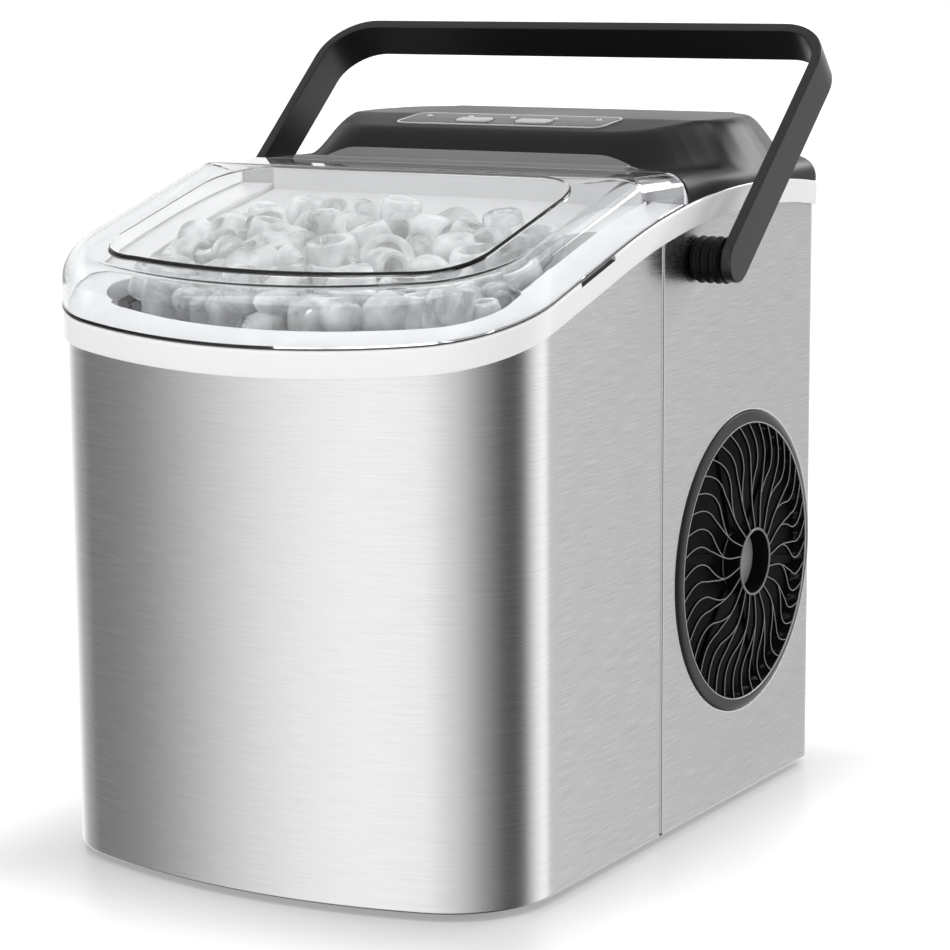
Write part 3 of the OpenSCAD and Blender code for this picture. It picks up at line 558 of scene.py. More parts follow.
# ---- white wave band
# (offset from the case, height over the wave) pairs: up the face, over the top and round the deck inside
sweep = [(-0.8, 0.0), (1.2, 0.0), (1.75, 0.2), (band_out, 0.7), (band_out, 4.0), (band_out, 8.0)]
rounded_top = [(band_out, 9.3), (band_out - 0.15, 10.0), (band_out - 0.6, 10.5), (band_out - 1.4, band_h)]
notched_top = [(band_out, 8.25), (band_out - 0.1, 8.4), (-0.5, 8.4), (-0.5, band_h)]
inner = [(-1.2, band_h), (-deck_w + 1, band_h), (-deck_w + 0.3, band_h - 0.3), (-deck_w, band_h - 1),
         (-deck_w, 0.4), (-deck_w + 1, 0.0), (-deck_w + 2, 0.4), (-deck_w + 2, band_h - deck_t),
         (-0.8, band_h - deck_t)]


def loop_run(off):
    front = front_run(off, 0.0, notch_ends + (notch_ends[0] - 0.2, notch_ends[1] + 0.2))
    return front + list(reversed(rear_run(off, 0.0)))[1:-1]


def wave_band():
    """The band round the case, cut down at the finger notches, and the deck behind the basket."""
    shape = Shape()
    plain, notched = sweep + rounded_top + inner, sweep + notched_top + inner
    runs = {off: loop_run(off) for off, _ in plain + notched}
    rows = []
    for i, (x, y) in enumerate(loop_run(0.0)):
        notch = abs(abs(x) - half_w) < 0.01 and notch_ends[0] <= y <= notch_ends[1]
        section = [(*runs[off][i], h) for off, h in (notched if notch else plain)]
        rows.append([(px, py, wave_at(py, h)) for px, py, h in section])
    shape.grid(rows, close_rows=True, close_cols=True)
    x = half_w - deck_w + 0.5
    rear_deck = []
    for y in spread(64.0, half_d - deck_w + 0.5, 20):
        top, under = wave_at(y, band_h), wave_at(y, band_h - deck_t)
        rear_deck.append([(x, y, under), (x, y, top), (0, y, top), (-x, y, top), (-x, y, under),
                          (0, y, under)])
    shape.grid(rear_deck, close_cols=True)
    shape.piece("wave_band", "case", WHITE, "white_plastic", ["top_frame"])


def notch_lining():
    """Dark sill and grey back wall of the two finger notches."""
    shape = Shape()
    x = half_w - 0.45
    section = ((x, 8.45), (x + 2.4, 8.45), (x + 2.4, 8.75), (x + 0.5, 8.8), (x + 0.4, 10.6), (x, 10.6))
    for s in (-1, 1):
        shape.grid([[(s * across, y, wave_at(y, h)) for across, h in section]
                    for y in spread(notch_ends[0] + 0.1, notch_ends[1] - 0.1, 8)], close_cols=True)
    shape.slots = [1 if k % len(section) == 3 else 0 for k in range(len(shape.faces))]
    shape.piece("notch_lining", "case", [PANEL, WALL], "panel_black")


wave_band()
notch_lining()


# ---- lid
def fillet(grow):
    """(offset, drop from the top) pairs up the lid's rounded upper edge."""
    r = lid_r + grow
    out = []
    for i in range(9):
        a = math.radians(11.25 * i)
        out.append((lid_out + grow - r * (1 - math.cos(a)), r * (1 - math.sin(a)) - grow))
    return out


def lid_rows(grow):
    """Rows up the lid's skirt and round its upper edge, grown outward or inward."""
    edge = fillet(grow)
    skirt = front_run(edge[0][0], lid_rear, (lid_flat_y,))
    rows = []
    for k in range(4):
        rows.append([(x, y, wave_at(y, band_h + lid_gap) * (1 - k / 4) + (lid_z(y) - edge[0][1]) * k / 4)
                     for x, y in skirt])
    for off, drop in edge:
        rows.append([(x, y, lid_z(y) - drop) for x, y in front_run(off, lid_rear, (lid_flat_y,))])
    return rows


def lid_shade_strip():
    """A thin dark strip under the lid's edge, in the rubber material: painted shade for the shadow gap
    between the lid and the band.
    """
    section = ((0.0, 0.05), (1.45, 0.05), (1.65, 0.18), (1.65, 0.36), (1.45, 0.48), (0.0, 0.48))
    rows = [[(x, y, wave_at(y, band_h + h)) for x, y in front_run(off, lid_rear)] for off, h in section]
    # painted shade: this dark strip draws the shadow line between the lid and the band
    Shape().grid(rows, close_rows=True).piece("lid_shade_strip", "lid_assembly", RUBBER, "rubber")


window_w, window_front, window_bow, window_rear, window_r = 88.0, -124.5, 6.5, -20.5, 24.0


def window_loop(grow):
    """Plan of the window: rounded corners, and a front edge that bows forward."""
    r = window_r + grow
    w, y0, y1 = window_w + grow, window_front - grow, window_rear + grow
    flat = window_w - window_r
    right = arc(w - r, y0 + r, r, -90, 0, 14) + arc(w - r, y1 - r, r, 0, 90, 14)
    front = [(x, y0 - window_bow * (1 - (x / flat) ** 2)) for x in spread(-flat, flat, 24)[1:-1]]
    return front + right + mirrored(right)


def on_top(drop):
    return lambda x, y: (x, y, lid_z(y) - drop)


def lid_shell():
    """The clear lid: an outer and an inner skin, joined round the rim and the window's hole."""
    shape = Shape()
    outer, within = lid_rows(0.0), lid_rows(-lid_t)
    shape.grid(outer).grid(within)
    shape.grid([outer[0], within[0]])
    hole = window_loop(0.15)
    for rows, drop in ((outer, 0.0), (within, lid_t)):
        rim = [(x, y) for x, y, _ in rows[-1]]
        shape.fill([rim, hole], on_top(drop), ((rim[0][0], lid_flat_y), (-rim[0][0], lid_flat_y)))
    for k in (0, -1):
        shape.grid([[row[k] for row in outer], [row[k] for row in within]])
    shape.grid([[outer[-1][0], outer[-1][-1]], [within[-1][0], within[-1][-1]]])
    shape.grid([[(x, y, lid_z(y) - d) for x, y in hole + hole[:1]] for d in (0.0, lid_t)])
    shape.piece("lid_shell", "lid_assembly", LID, "lid_clear", ["lid"], sharp=30)


def lid_pane():
    """The window, a little proud of the lid, with a rounded upper edge."""
    shape = Shape()
    proud, thick = 0.8, 2.6
    rows = []
    for grow, drop in ((0.0, thick - proud), (0.0, -0.1), (-0.2, -0.45), (-0.6, -0.72), (-1.3, -proud)):
        loop = window_loop(grow)
        rows.append([(x, y, lid_z(y) - drop) for x, y in loop + loop[:1]])
    shape.grid(rows)
    shape.fill([window_loop(-1.3)], on_top(-proud))
    shape.fill([window_loop(0.0)], on_top(thick - proud))
    shape.piece("lid_pane", "lid_assembly", PANE, "window_clear", ["lid_window"], sharp=30)


def hinge_strip():
    """Grey strip along the lid's rear edge and over the hinge barrel."""
    shape = Shape()
    tail = tongue_w + 0.2
    profile = [(lid_rear + 0.05, lid_top - 1.9), (lid_rear + 0.05, lid_top - 0.2), (17.0, lid_top + 0.1),
               (17.5, lid_top + 1.1), (18.4, lid_top + 1.7), (20.2, lid_top + 1.7), (22.4, lid_top + 1.3)]
    profile += arc(hinge_y, hinge_z, hinge_r + 0.6, 100, 0, 5) + arc(hinge_y, hinge_z, hinge_r, -15, -180, 11)
    end = [(y + (hinge_y - y) * 0.1, z + (hinge_z - z) * 0.1) for y, z in profile]
    shape.grid([[(x, y, z) for y, z in (end if abs(x) == tail else profile)]
                for x in [-tail, -tail + 0.6] + spread(-tail + 2, tail - 2, 20) + [tail - 0.6, tail]],
               close_cols=True)
    for x in (-tail, tail):
        shape.fill([end], lambda y, z, x=x: (x, y, z))
    shape.piece("hinge_strip", "lid_assembly", RAIL, "hub_grey")


lid_shade_strip()
lid_shell()
lid_pane()
hinge_strip()


# ---- rear cover
def crest_loop():
    """Plan of the plateau's edge: the right half from front to rear, then the left half."""
    right = arc(60.0, 65.0, 20.0, -90, -30, 10)
    right += [(80.5, 61.0), (84.0, 69.0), (87.0, 78.0), (89.0, 88.0), (90.0, 98.0), (89.5, 107.0)]
    right += arc(64.0, 113.0, 24.0, 0, 70, 8)
    right += [(66.0, 160.0), (40.0, 175.0)]
    return right + mirrored(right)


crest = crest_loop()


def crest_distance(x, y):
    """Distance outside the plateau's edge, and how much of it runs forward."""
    if inside((x, y), crest):
        return 0.0, 0.0
    best, way = 1e9, 0.0
    for i, a in enumerate(crest):
        b = crest[i - 1]
        dx, dy = b[0] - a[0], b[1] - a[1]
        t = max(0.0, min(1.0, ((x - a[0]) * dx + (y - a[1]) * dy) / (dx * dx + dy * dy)))
        px, py = x - a[0] - t * dx, y - a[1] - t * dy
        d = math.hypot(px, py)
        if d < best:
            best, way = d, (py / d) ** 2 if d > 1e-6 and py < 0 else 0.0
    return best, way


def cover_top(x, y):
    """Height of the cover before its outer edge is rounded."""
    rise = min(y, plateau_step) - plateau_front
    flat = plateau_low + math.tan(math.radians(panel_slope)) * max(rise, -2)
    d, way = crest_distance(x, y)
    width = flank_w * (1 - way) + (plateau_front - foot_y - 0.4) * way
    u = min(d / width, 1.0)
    flank, ahead = 0.5 + 0.5 * math.cos(math.pi * u), 1 - u ** 1.5
    return wing_z + (flat - wing_z) * (flank * (1 - way) + ahead * way)


def outline_gap(x, y):
    """Distance in from the cover's outer edge."""
    cx, cy = half_w - rear_r, half_d - rear_r
    x = abs(x)
    if x > cx and y > cy:
        return rear_r + lid_out - math.hypot(x - cx, y - cy)
    return min(full_w - x, cover_rear - y)


def roundness(u):
    """How far a rounded edge has dropped, from 1 at its foot to 0 where the flat starts."""
    return 1 - math.sqrt(max(0.0, 1 - (1 - u) ** 2))


def cover_point(x, y):
    top = cover_top(x, y)
    gap = max(0.0, outline_gap(x, y))
    z = top
    if gap < cover_r:
        drop = cover_r + 3.5 * max(0.0, (top - wing_z) / (plateau_high - wing_z))
        z = top - drop * roundness(gap / cover_r)
    if y < cover_front + 2 and abs(x) > tongue_w:
        z -= 2 * roundness((y - cover_front) / 2)
    return x, y, z


def squeeze(x, y):
    """Pulls the outer columns in to follow the rounded rear corners."""
    cx, cy = half_w - rear_r, half_d - rear_r
    if y <= cy or abs(x) <= slot_w:
        return x
    room = cx + math.sqrt(max(0.0, (rear_r + lid_out) ** 2 - (y - cy) ** 2))
    return math.copysign(slot_w + (abs(x) - slot_w) * (room - slot_w) / (full_w - slot_w), x)


def cover_columns():
    """The cover's x values, right to left, closer together where its edge is rounded."""
    wide = [full_w - gap for gap in (0.0, 0.05, 0.25, 0.7, 1.4, 2.4, 3.7, 5.3, 7.2, 9.5)]
    wide += spread(full_w - 11, slot_w, 12)
    wide += spread(slot_w, 56.0, 16)[1:] + spread(56.0, 0.0, 8)[1:]
    return wide + [-x for x in reversed(wide[:-1])]


def rear_cover():
    """The moulded cover: its top, its edges down to the band and the trough behind the lid's hinge."""
    shape = Shape()
    xs = cover_columns()
    ys_front = [cover_front + gap for gap in (0, 0.1, 0.5, 1.1, 2)] + spread(cover_front + 2, foot_y, 6)[1:]
    ys = spread(foot_y, 60, 26) + spread(60, half_d - 12, 34)[1:]
    ys += [cover_rear - gap for gap in (11.0, 9.5, 8.2, 7.0, 6.0, 5.0, 4.0, 3.1, 2.3, 1.6, 1.0, 0.55, 0.22,
                                        0.05, 0.0)]
    top = [[cover_point(squeeze(x, y), y) for x in xs] for y in ys]

    def wall(edge, slot=0):
        foot = [(x, y, wave_at(min(y, half_d), band_h + 0.1)) for x, y, _ in edge]
        shape.grid([edge, foot], slot=slot)

    shape.grid(top)
    per_row = len(xs) - 1
    for k in range(3 * per_row):
        shape.slots[k] = 1 if abs(xs[k % per_row] + xs[k % per_row + 1]) / 2 < slot_w else 0
    for s in (1, -1):
        cols = [x for x in xs if s * x >= slot_w - 1e-6]
        shape.grid([[cover_point(x, y) for x in cols] for y in ys_front])
        wall([cover_point(x, cover_front) for x in cols], slot=2)
    for k, x in ((0, full_w), (-1, -full_w)):
        wall([cover_point(x, y) for y in ys_front[:-1]] + [row[k] for row in top])
    wall(top[-1])
    trough = [(foot_y, wing_z), (foot_y - 0.3, wing_z - 0.35), (foot_y - 0.4, wing_z - 1)]
    trough += arc(hinge_y, hinge_z, hinge_r + 0.9, 0, -90, 9) + [(hinge_y, wave_at(hinge_y, band_h + 0.1))]
    shape.grid([[(x, y, z) for x in xs if abs(x) <= slot_w + 1e-6] for y, z in trough])
    for s in (-1, 1):
        wall([cover_point(s * slot_w, y) for y in ys_front])
    shape.piece("rear_cover", "case", [BLACK, RAIL, WALL], "black_cover", ["top_cover"], sharp=42)


rear_cover()

# ---- control panel
panel_place = Matrix.Translation((0, panel_y, panel_z)) @ Matrix.Rotation(math.radians(panel_slope), 4, "X")


panel_w, panel_l, button_x, button_y, light_y, light_pitch = 102.0, 23.0, 15.0, -3.5, 4.5, 21.5
key_w, key_l, key_r = 17.0, 7.5, 2.2


def round_box(w, l, r, cx=0.0, cy=0.0):
    """A rectangle with round corners."""
    out = []
    for sx, sy, a in ((1, -1, -90), (1, 1, 0), (-1, 1, 90), (-1, -1, 180)):
        out += arc(cx + sx * (w / 2 - r), cy + sy * (l / 2 - r), r, a, a + 90, 6)
    return out


def on_panel(z):
    return panel_place @ Matrix.Translation((0, 0, z))


def panel():
    """The panel's face with its holes for keys and lights, and the pale line round it."""
    holes = [round_box(key_w + 0.8, key_l + 0.8, key_r + 0.4, s * button_x, button_y) for s in (-1, 1)]
    holes += [ring(i * light_pitch, light_y, 1.85, 20) for i in range(-2, 3)]
    plate("panel_face", round_box(panel_w, panel_l, 4), holes, 2.0, 0.3, on_panel(0.55), "case", PANEL,
          ["control_panel"])
    within = round_box(panel_w + 0.3, panel_l + 0.3, 4.1)
    plate("panel_line", round_box(panel_w + 2.4, panel_l + 2.4, 5.2), [within], 0.6, 0.12, on_panel(0.5),
          "case", PRINT)


def key(s, action):
    """A key's cap: a flange under the panel, straight sides and a rounded top."""
    shape = Shape()
    levels = ((0.9, -3.0), (0.9, -1.9), (0.0, -1.6), (0.0, 0.7), (-0.15, 1.0), (-0.5, 1.25), (-1.1, 1.35))
    loops = [round_box(key_w + 2 * grow, key_l + 2 * grow, key_r + grow * 0.8, s * button_x, button_y)
             for grow, _ in levels]
    shape.grid([[panel_place @ Vector((x, y, z)) for x, y in loop] for loop, (_, z) in zip(loops, levels)],
               close_cols=True)
    for k in (-1, 0):
        shape.fill([loops[k]], lambda x, y, z=levels[k][1]: panel_place @ Vector((x, y, z)))
    shape.piece(action + "_cap", action + "_key", BUTTON, "button_grey", [action + "_button"])


def light_lenses():
    """Five domed lenses, a little wider than long."""
    shape = Shape()
    for i in range(-2, 3):
        place = panel_place @ Matrix.Translation((i * light_pitch, light_y, 0))
        shape.lathe([(0.0, 0.95), (0.7, 0.92), (1.3, 0.75), (1.6, 0.45), (1.6, -1.4), (0.0, -1.4)],
                    place @ Matrix.Diagonal((1.1, 0.95, 1, 1)), 24)
    shape.piece("light_lenses", "case", LIGHT, "light_grey", ["indicator_lights"])


panel()
key(-1, "start")
key(1, "select")
light_lenses()


# ---- handle
def facing_out(s, x, y, z):
    """A place whose Z axis points out of the case on side s."""
    return Matrix.Translation((s * x, y, z)) @ Matrix.Rotation(math.radians(90 * s), 4, "Y")


def bail_path():
    """(x, z, outward x, outward z) along the bail's outer face, right end to left end."""
    top, r = arm_len, bend_r
    half = [(arm_x, z, 1.0, 0.0) for z in [-9.0, -8.8, -8.2, -7.0, -5.4, -3.2, 0.0] + spread(6, top - r, 14)]
    for i in range(1, 13):
        a = math.radians(7.5 * i)
        half.append((arm_x - r + r * math.cos(a), top - r + r * math.sin(a), math.cos(a), math.sin(a)))
    half += [(x, top, 0.0, 1.0) for x in spread(arm_x - r, 0, 8)[1:]]
    return half + [(-x, z, -ox, oz) for x, z, ox, oz in reversed(half[:-1])]


def grip_bail():
    """The bail: a flat bar with softened edges, its ends rounded about the pivots."""
    place = Matrix.Translation((0, pivot_y, pivot_z)) @ Matrix.Rotation(math.radians(-handle_lean), 4, "X")
    rows = []
    for x, z, ox, oz in bail_path():
        wide = bar_w / 2 if z > 0 else math.sqrt(max(0.01, (bar_w / 2) ** 2 - z * z))
        e = min(0.7, wide * 0.5)
        edge = [(0, -wide + e), (-0.2, -wide + 0.45 * e), (-0.45, -wide + 0.15 * e), (-0.9, -wide)]
        section = edge + [(-bar_t - d, w) for d, w in reversed(edge)]
        section += [(d, -w) for d, w in reversed(section)]
        rows.append([place @ Vector((x + ox * d, w, z + oz * d)) for d, w in section])
    bail = Shape().grid(rows, close_cols=True)
    bail.piece("grip_bail", "handle_assembly", HANDLE, "handle_black", ["handle"], sharp=50)


def boss_sleeves():
    """Ribbed sleeves round the pivots, from the case to the handle's arms."""
    shape = Shape()
    reach, ribs, steps = arm_x - bar_t - 0.4, 3.25, 23
    profile = [(pin_hole, half_w + 0.3), (8.4, half_w + 0.3), (9.0, half_w + 0.8)]
    for k in range(steps + 1):
        x = half_w + 1.2 + (reach - half_w - 1.6) * k / steps
        profile.append((9.1 + 0.75 * math.sin(2 * math.pi * ribs * k / steps - 0.6), x))
    profile += [(9.0, reach), (pin_hole, reach)]
    for s in (-1, 1):
        shape.lathe(profile, facing_out(s, 0, pivot_y, pivot_z), 72)
    nodes = ["right_pivot_boss", "left_pivot_boss"]
    shape.piece("boss_sleeves", "case", BOSS, "handle_black", nodes, sharp=60)


grip_bail()
boss_sleeves()

# ---- vents
rib_count, rib_half = 20, 0.25


def dome_z(r):
    """Height of the ribs over the side at a radius: domed, and a little up again at the rim."""
    u = max(0.0, (r - hub_r) / (grille_r - hub_r))
    return dome * (1 - u ** 2) + 0.2 + 0.9 * u ** 4


def rib_path(turn, fork, r0, r1, steps):
    """A rib's (radius, angle) points: it snakes outward, and forks part way."""
    out = []
    for r in spread(r0, r1, steps):
        u = (r - hub_r) / (grille_r - hub_r)
        split = fork * (math.pi / rib_count / 2) * min(1.0, max(0.0, (u - 0.3) / 0.3)) ** 1.3
        out.append((r, turn + 0.085 * math.sin(6.6 * u) + 0.03 * u + split))
    return out


def add_rib(shape, place, path):
    """A thin raised rib over the dome: grey crest, and black flanks that paint the shade along its sides."""
    w, rows = rib_half, []
    for i, (r, a) in enumerate(path):
        r2, a2 = path[min(i + 1, len(path) - 1)]
        r1, a1 = path[max(i - 1, 0)]
        ahead = Vector((r2 * math.cos(a2) - r1 * math.cos(a1), r2 * math.sin(a2) - r1 * math.sin(a1)))
        across = Vector((-ahead.y, ahead.x)).normalized()
        c = Vector((r * math.cos(a), r * math.sin(a)))
        h = dome_z(r)
        section = [(w, -1.4), (w, -0.2), (w * 0.7, 0.0), (-w * 0.7, 0.0), (-w, -0.2), (-w, -1.4)]
        rows.append([place @ Vector((*(c + across * d), h + z)) for d, z in section])
    start = len(shape.faces)
    shape.grid(rows, close_cols=True)
    shade_rib_flanks(shape, start)
    for row in (rows[0], rows[-1]):
        base = len(shape.verts)
        shape.verts.extend(row)
        shape.faces.append(tuple(range(base, base + len(row))))
        shape.slots.append(1)


def shade_rib_flanks(shape, start):
    """From face start on, only the three crest faces of every six keep the grey material; the rest take black
    as painted shade.
    """
    for k in range(start, len(shape.faces)):
        shape.slots[k] = 0 if 1 <= (k - start) % 6 <= 3 else 1


def around(r, points):
    """Points given by their distance outside a radius, and their height."""
    return [(r + out, z) for out, z in points]


def vent_bezel(place, side):
    """The ring round the grille, its flange under the sheet, and pale lines along both edges: the outer one a
    painted highlight where the sheet's rolled hole edge catches the light, the inner one a grey line round
    the grille's rim.
    """
    bezel = Shape()
    slope = ((-0.3, -5.5), (-0.3, 1.0), (-0.1, 1.35), (0.4, 1.5), (1.2, 1.45), (2.4, 1.2), (3.6, 0.8))
    flange = ((-0.6, 0.45), (-0.2, 0.15), (-0.1, -0.9), (1.2, -0.9), (1.2, -1.5), (-3.4, -1.5), (-3.4, -5.5))
    bezel.lathe(around(grille_r, slope) + around(vent_r, flange), place, 160)
    bezel.grid([[place @ Vector((x, y, -5.5)) for x, y in arc(0, 0, r, 0, 360, 120)]
                for r in (grille_r - 0.3, vent_r - 3.4)])
    bezel.piece(side + "_bezel_ring", "case", BEZEL, "vent_black", [side + "_vent_bezel"])
    line = Shape()
    # painted highlight: this pale ring at the sheet's hole edge stands in for the light the edge catches
    outer = ((0.95, 0.0), (0.6, -0.05), (0.35, -0.25), (0.2, -0.75))
    within = ((-0.3, 1.0), (-0.35, 1.35), (-0.2, 1.55), (0.1, 1.55), (0.15, 1.3))
    line.lathe(around(vent_r, outer), place, 160)
    line.lathe(around(grille_r, within), place, 160, slot=1)
    line.piece(side + "_bezel_highlight_and_rim", "case", [HOLE_EDGE_HIGHLIGHT, BUTTON], "light_grey")


def vent_grille(place, side):
    """The snaking ribs, the tube they grow from and the hub's sunken disc."""
    ribs = Shape()
    for k in range(rib_count):
        turn = 2 * math.pi * k / rib_count
        add_rib(ribs, place, rib_path(turn, 0, hub_r - 0.5, hub_r + 16.5, 10))
        for fork in (-1, 1):
            start = hub_r + (12.5 if fork > 0 else 15.5)
            add_rib(ribs, place, rib_path(turn, fork, start, grille_r, 16))
    top = dome + 0.6
    start = len(ribs.faces)
    tube = ((-0.9, -2.5), (-0.9, top - 0.4), (-0.7, top), (-0.1, top), (0.2, top - 0.4), (0.5, dome - 1.6),
            (0.5, -2.5))
    ribs.lathe(around(hub_r, tube), place, 96)
    # the tube's faces off its crest are painted black as shade too
    shade_rib_flanks(ribs, start)
    ribs.piece(side + "_grille_ribs", "case", [SPOKE, VENT], "grille_grey", [side + "_vent_grille"])
    hub = Shape()
    floor_z = top - 7.5
    hub.lathe([(0.0, floor_z + 0.6), (7.0, floor_z + 0.4), (hub_r - 1.9, floor_z - 0.2),
               (hub_r - 1.1, floor_z - 0.8), (hub_r - 1.1, floor_z - 2), (0.0, floor_z - 2)], place, 96)
    hub.piece(side + "_hub_disc", "case", HUB, "hub_grey", [side + "_vent_hub"])


def filter_screen(place, side):
    """A dark disc with bars across it, behind the ribs."""
    dark = Shape()
    dark.lathe([(0.0, -4.6), (grille_r - 0.5, -4.6), (grille_r - 0.5, -5.4), (0.0, -5.4)], place, 96)
    for k in range(6):
        a = math.radians(60 * k + 20)
        bar = place @ Matrix.Rotation(a, 4, "Z")
        dark.box((16, -2.2, -4.7), (grille_r - 2, 2.2, -3.2), 0.5, bar)
    dark.piece(side + "_filter_screen", "case", VENT, "vent_black")


for s, side in ((1, "right"), (-1, "left")):
    for part in (vent_bezel, vent_grille, filter_screen):
        part(facing_out(s, half_w, vent_y, vent_z), side)


# ---- ice
basket_wall = high("ice_basket", 0) - 3.4
basket_back = high("ice_basket", 1) - 3.4
basket_floor = low("ice_basket", 2) + 24.0
ice_sizes = ((10.6, 12.4, 19.5), (8.6, 9.8, 17.0), (7.0, 8.4, 14.0))  # least and most radius, spacing
viewer = math.radians(211)


def bullet(shape, place, r, length):
    """One piece of ice: a round-nosed thimble with a hollow in its flat end."""
    profile = [(0.0, length)] + arc(0, length - r, r, 75, 0, 5)
    profile += [(r * 0.99, length * 0.3), (r * 0.93, 2.0), (r * 0.84, 0.5), (r * 0.68, 0.0), (r * 0.54, 0.4)]
    profile += [(r * 0.46, 2.2), (r * 0.40, length * 0.45), (r * 0.24, length * 0.57), (0.0, length * 0.60)]
    shape.lathe(profile, place, 28)


def in_basket(p, r):
    """Whether a ball of radius r stays between the basket's walls and under the lid."""
    x, y, z = p
    x, wall = abs(x), basket_wall - r
    if x > wall or y > basket_back - r or z < basket_floor + r:
        return False
    if x > corner_x and y < corner_y and math.hypot(x - corner_x, y - corner_y) > corner_r - half_w + wall:
        return False
    if x <= corner_x and math.hypot(x, y - bow_y) > front_r - half_w + wall:
        return False
    return z + r < min(lid_z(y), lid_z(y - r)) - 3.2


def holds(place, r, length):
    """Whether a whole piece of ice stays inside the basket."""
    rim = [place @ Vector((r * math.cos(a), r * math.sin(a), 0)) for a in spread(0, 2 * math.pi, 13)]
    return in_basket(place @ Vector((0, 0, length - r)), r + 0.3) and all(in_basket(p, 0.3) for p in rim)


def ice_heap():
    """Ice dropped at random, large pieces first, kept where a whole one fits; most show a hollow end."""
    shape = Shape()
    placed = []
    random.seed(11)
    for tries in range(64000):
        least, most, apart = ice_sizes[(tries >= 24000) + (tries >= 46000)]
        r = random.uniform(least, most)
        length = r * random.uniform(2.3, 2.5)
        x = random.uniform(r - basket_wall, basket_wall - r)
        y = random.uniform(-130, basket_back - r)
        if random.random() < 0.62:
            lean = random.uniform(2.25, 3.0)
            turn = viewer + random.uniform(-1.5, 1.5)
        else:
            lean = random.uniform(0.5, 1.9)
            turn = random.uniform(0, 2 * math.pi)
        reach = abs(math.cos(lean)) * length / 2 + math.sin(lean) * r
        top = lid_z(y) - 4.0 - reach - 7 * (x / basket_wall) ** 2
        at_top = tries < 36000 or tries > 56000
        c = Vector((x, y, top - (random.uniform(0, 4) if at_top else random.uniform(6, 40))))
        if any((c - q).length < apart for q in placed):
            continue
        tilt = Matrix.Rotation(turn, 4, "Z") @ Matrix.Rotation(lean, 4, "X")
        place = Matrix.Translation(c) @ tilt @ Matrix.Translation((0, 0, -length / 2))
        if holds(place, r, length):
            placed.append(c)
            bullet(shape, place, r, length)
    shape.piece("ice_heap", "case", ICE, "")


ice_heap()


# ---- carried-over nodes
def dress(m, edge, *names):
    """Gives CAD nodes a material and, where edge is set, softened edges."""
    for name in names:
        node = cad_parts[name]
        node.data.materials.clear()
        node.data.materials.append(m)
        node.data.polygons.foreach_set("material_index", [0] * len(node.data.polygons))
        if edge:
            bevel = node.modifiers.new("edges", "BEVEL")
            bevel.width = edge * MM
            bevel.segments = 2
            bevel.limit_method = "ANGLE"
            bevel.angle_limit = math.radians(40)
            bevel.harden_normals = False


dress(STEEL, 0.2, "rear_panel")
dress(RUBBER, 0.5, "rubber_feet", "drain_cap", "compressor_mounts", "cord_gland")
dress(BASE, 0.3, "base_tray", "partition_wall")
dress(HANDLE, 0.3, "fan_shroud")
dress(BOARD, 0.2, "control_board")
dress(FOAM, 0.6, "foam_insulation")
dress(NICKEL, 0, "evaporator")
dress(ALUMINIUM, 0, "condenser")
dress(COPPER, 0, "refrigerant_pipes", "filter_drier")
dress(MOTOR, 0.4, "fan_motor", "tray_motor", "hot_gas_valve")
dress(ENAMEL, 0, "compressor")
dress(HOSE, 0, "pump_hose", "drain_hose")
dress(FAN, 0.3, "fan_blade", "water_pump", "level_float", "level_sensor", "ice_sensor")
dress(BASKET, 0.4, "ice_basket")
dress(TRAY, 0.2, "water_tray")
dress(PIN, 0, "rear_screws", "handle_pins", "handle_clips", "lid_hinge_pins")
dress(GUARD, 0.4, "ice_guard")
dress(WHITE_IN, 0.4, "water_tub", "tray_brackets", "ice_shovel")


# ---- stage and light
def shade_floor(m, near, far):
    """Glow of the pale floor, turned down under and beside the case: a painted shadow on the floor."""
    tree, shader = nodes_of(m)
    place = add_node(tree, "SeparateXYZ", {0: add_node(tree, "TexCoord")["Object"]})
    gaps = []
    for axis, half in (("X", half_w), ("Y", half_d)):
        size = add_node(tree, "Math", {0: place[axis]}, operation="ABSOLUTE")[0]
        gaps.append(add_node(tree, "Math", {0: size, 1: half * MM}, operation="SUBTRACT")[0])
    outer = add_node(tree, "Math", {0: gaps[0], 1: gaps[1], 2: 0.03}, operation="SMOOTH_MAX")[0]
    feed(tree, shader, {"Emission Strength": remap(tree, outer, (-0.03, 0.10), (near, far), "SMOOTHERSTEP")})


def pale_floor():
    mesh = bpy.data.meshes.new("floor")
    mesh.from_pydata([(-9, -6, 0), (9, -6, 0), (9, 14, 0), (-9, 14, 0)], [], [(0, 1, 2, 3)])
    look = material("floor_white", (0.35, 0.35, 0.35), 0.30, Emission_Color=(1, 1, 1, 1))
    vary(look, texture(look.node_tree, 3.0), "Roughness", 0.30, 0.42)
    # painted shadow: the floor's glow is 0.30 at the case and 0.76 away from it
    shade_floor(look, 0.30, 0.76)
    mesh.materials.append(look)
    floor = link("floor", mesh)
    floor.visible_glossy = False


# heading clockwise from the rear, in degrees, and grey level of the surroundings
surroundings = [(-180, 0.95), (-170, 0.96), (-160, 0.90), (-150, 0.78), (-140, 0.60), (-130, 0.41),
                (-120, 0.25), (-106, 0.17), (-80, 0.40), (-55, 0.95), (-15, 1.0), (5, 0.66), (20, 0.45),
                (30, 0.47), (34, 0.62), (38, 0.98), (46, 0.95), (55, 0.74), (64, 0.42), (72, 0.14),
                (82, 0.08), (94, 0.10), (106, 0.20), (120, 0.34), (136, 0.55), (152, 0.71), (166, 0.84),
                (180, 0.94)]
overhead, underfoot = (0.38, 0.38, 0.38, 1), (0.04, 0.04, 0.04, 1)


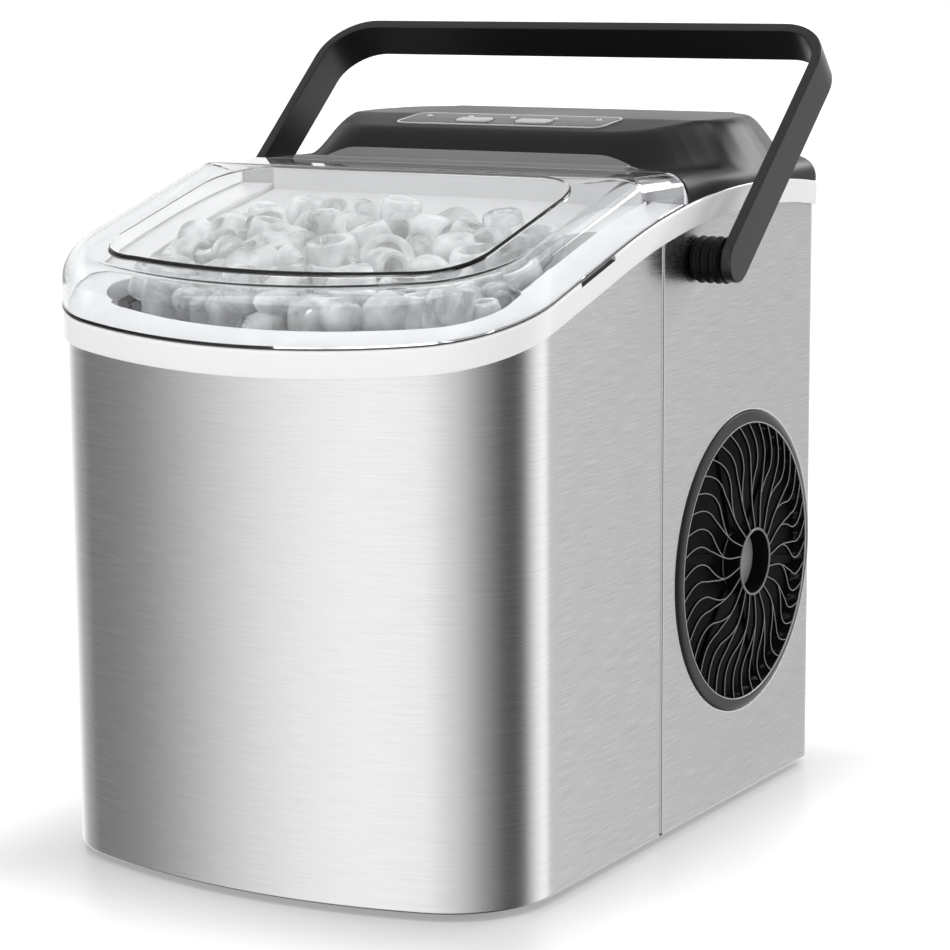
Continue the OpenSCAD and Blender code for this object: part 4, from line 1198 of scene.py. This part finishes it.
def world_light():
    """Soft surroundings whose brightness goes by compass direction; plain white behind."""
    world = bpy.data.worlds.new("studio")
    bpy.context.scene.world = world
    world.use_nodes = True
    tree = world.node_tree
    tree.nodes.clear()
    way = add_node(tree, "SeparateXYZ", {0: add_node(tree, "TexCoord")["Generated"]})
    heading = add_node(tree, "Math", {0: way["X"], 1: way["Y"]}, operation="ARCTAN2")[0]
    stops = [((turn + 180) / 360, (grey, grey, grey, 1)) for turn, grey in surroundings]
    color = ramp(tree, remap(tree, heading, (-math.pi, math.pi), (0, 1)), stops)
    for heights, tone in (((0.28, 0.62), overhead), ((-0.5, -0.85), underfoot)):
        part = remap(tree, way["Z"], heights, (0, 1), "SMOOTHSTEP")
        color = add_node(tree, "Mix", {"Factor": part, 6: color, 7: tone}, data_type="RGBA")[2]
    glow = add_node(tree, "Background", {"Color": color, "Strength": 1.22})[0]
    plain = add_node(tree, "Background", {"Color": (1, 1, 1, 1), "Strength": 1.0})[0]
    seen = add_node(tree, "LightPath")["Is Camera Ray"]
    mix = add_node(tree, "MixShader", {"Fac": seen, 1: glow, 2: plain})
    add_node(tree, "OutputWorld", {"Surface": mix[0]})


def lamp(name, place, aim, size, power, mirrored=False):
    data = bpy.data.lights.new(name, "AREA")
    data.shape = "RECTANGLE"
    data.size, data.size_y = size
    data.energy = power
    obj = link(name, data)
    obj.visible_glossy = mirrored
    obj.location = place
    obj.rotation_euler = (Vector(aim) - Vector(place)).to_track_quat("-Z", "Y").to_euler()


pale_floor()
world_light()
lamp("key", (-0.6, -1.0, 1.7), (0, 0, 0.15), (1.4, 1.0), 14)
lamp("top", (0.2, 0.1, 1.9), (0, 0, 0.1), (2.0, 2.0), 23)
lamp("side", (1.7, -0.2, 0.9), (0, 0, 0.2), (0.8, 0.8), 4)
lamp("spark", (0.44, 1.05, 0.95), (0.08, 0.05, 0.28), (0.55, 0.55), 6, True)

camera = bpy.data.cameras.new("camera")
camera.lens = 112.8
camera.sensor_width = 36.0
view = link("camera", camera)
right = Vector((0.85783307, 0.51388693, -0.00653084))
up = Vector((-0.08398745, 0.15271473, 0.98469504))
back = Vector((0.50701927, -0.84415546, 0.1741638))
aim = Matrix((right, up, back)).transposed().to_4x4()
view.matrix_world = Matrix.Translation((0.662394, -1.069731, 0.369535)) @ aim
bpy.context.scene.camera = view
bpy.context.scene.view_settings.view_transform = "Standard"
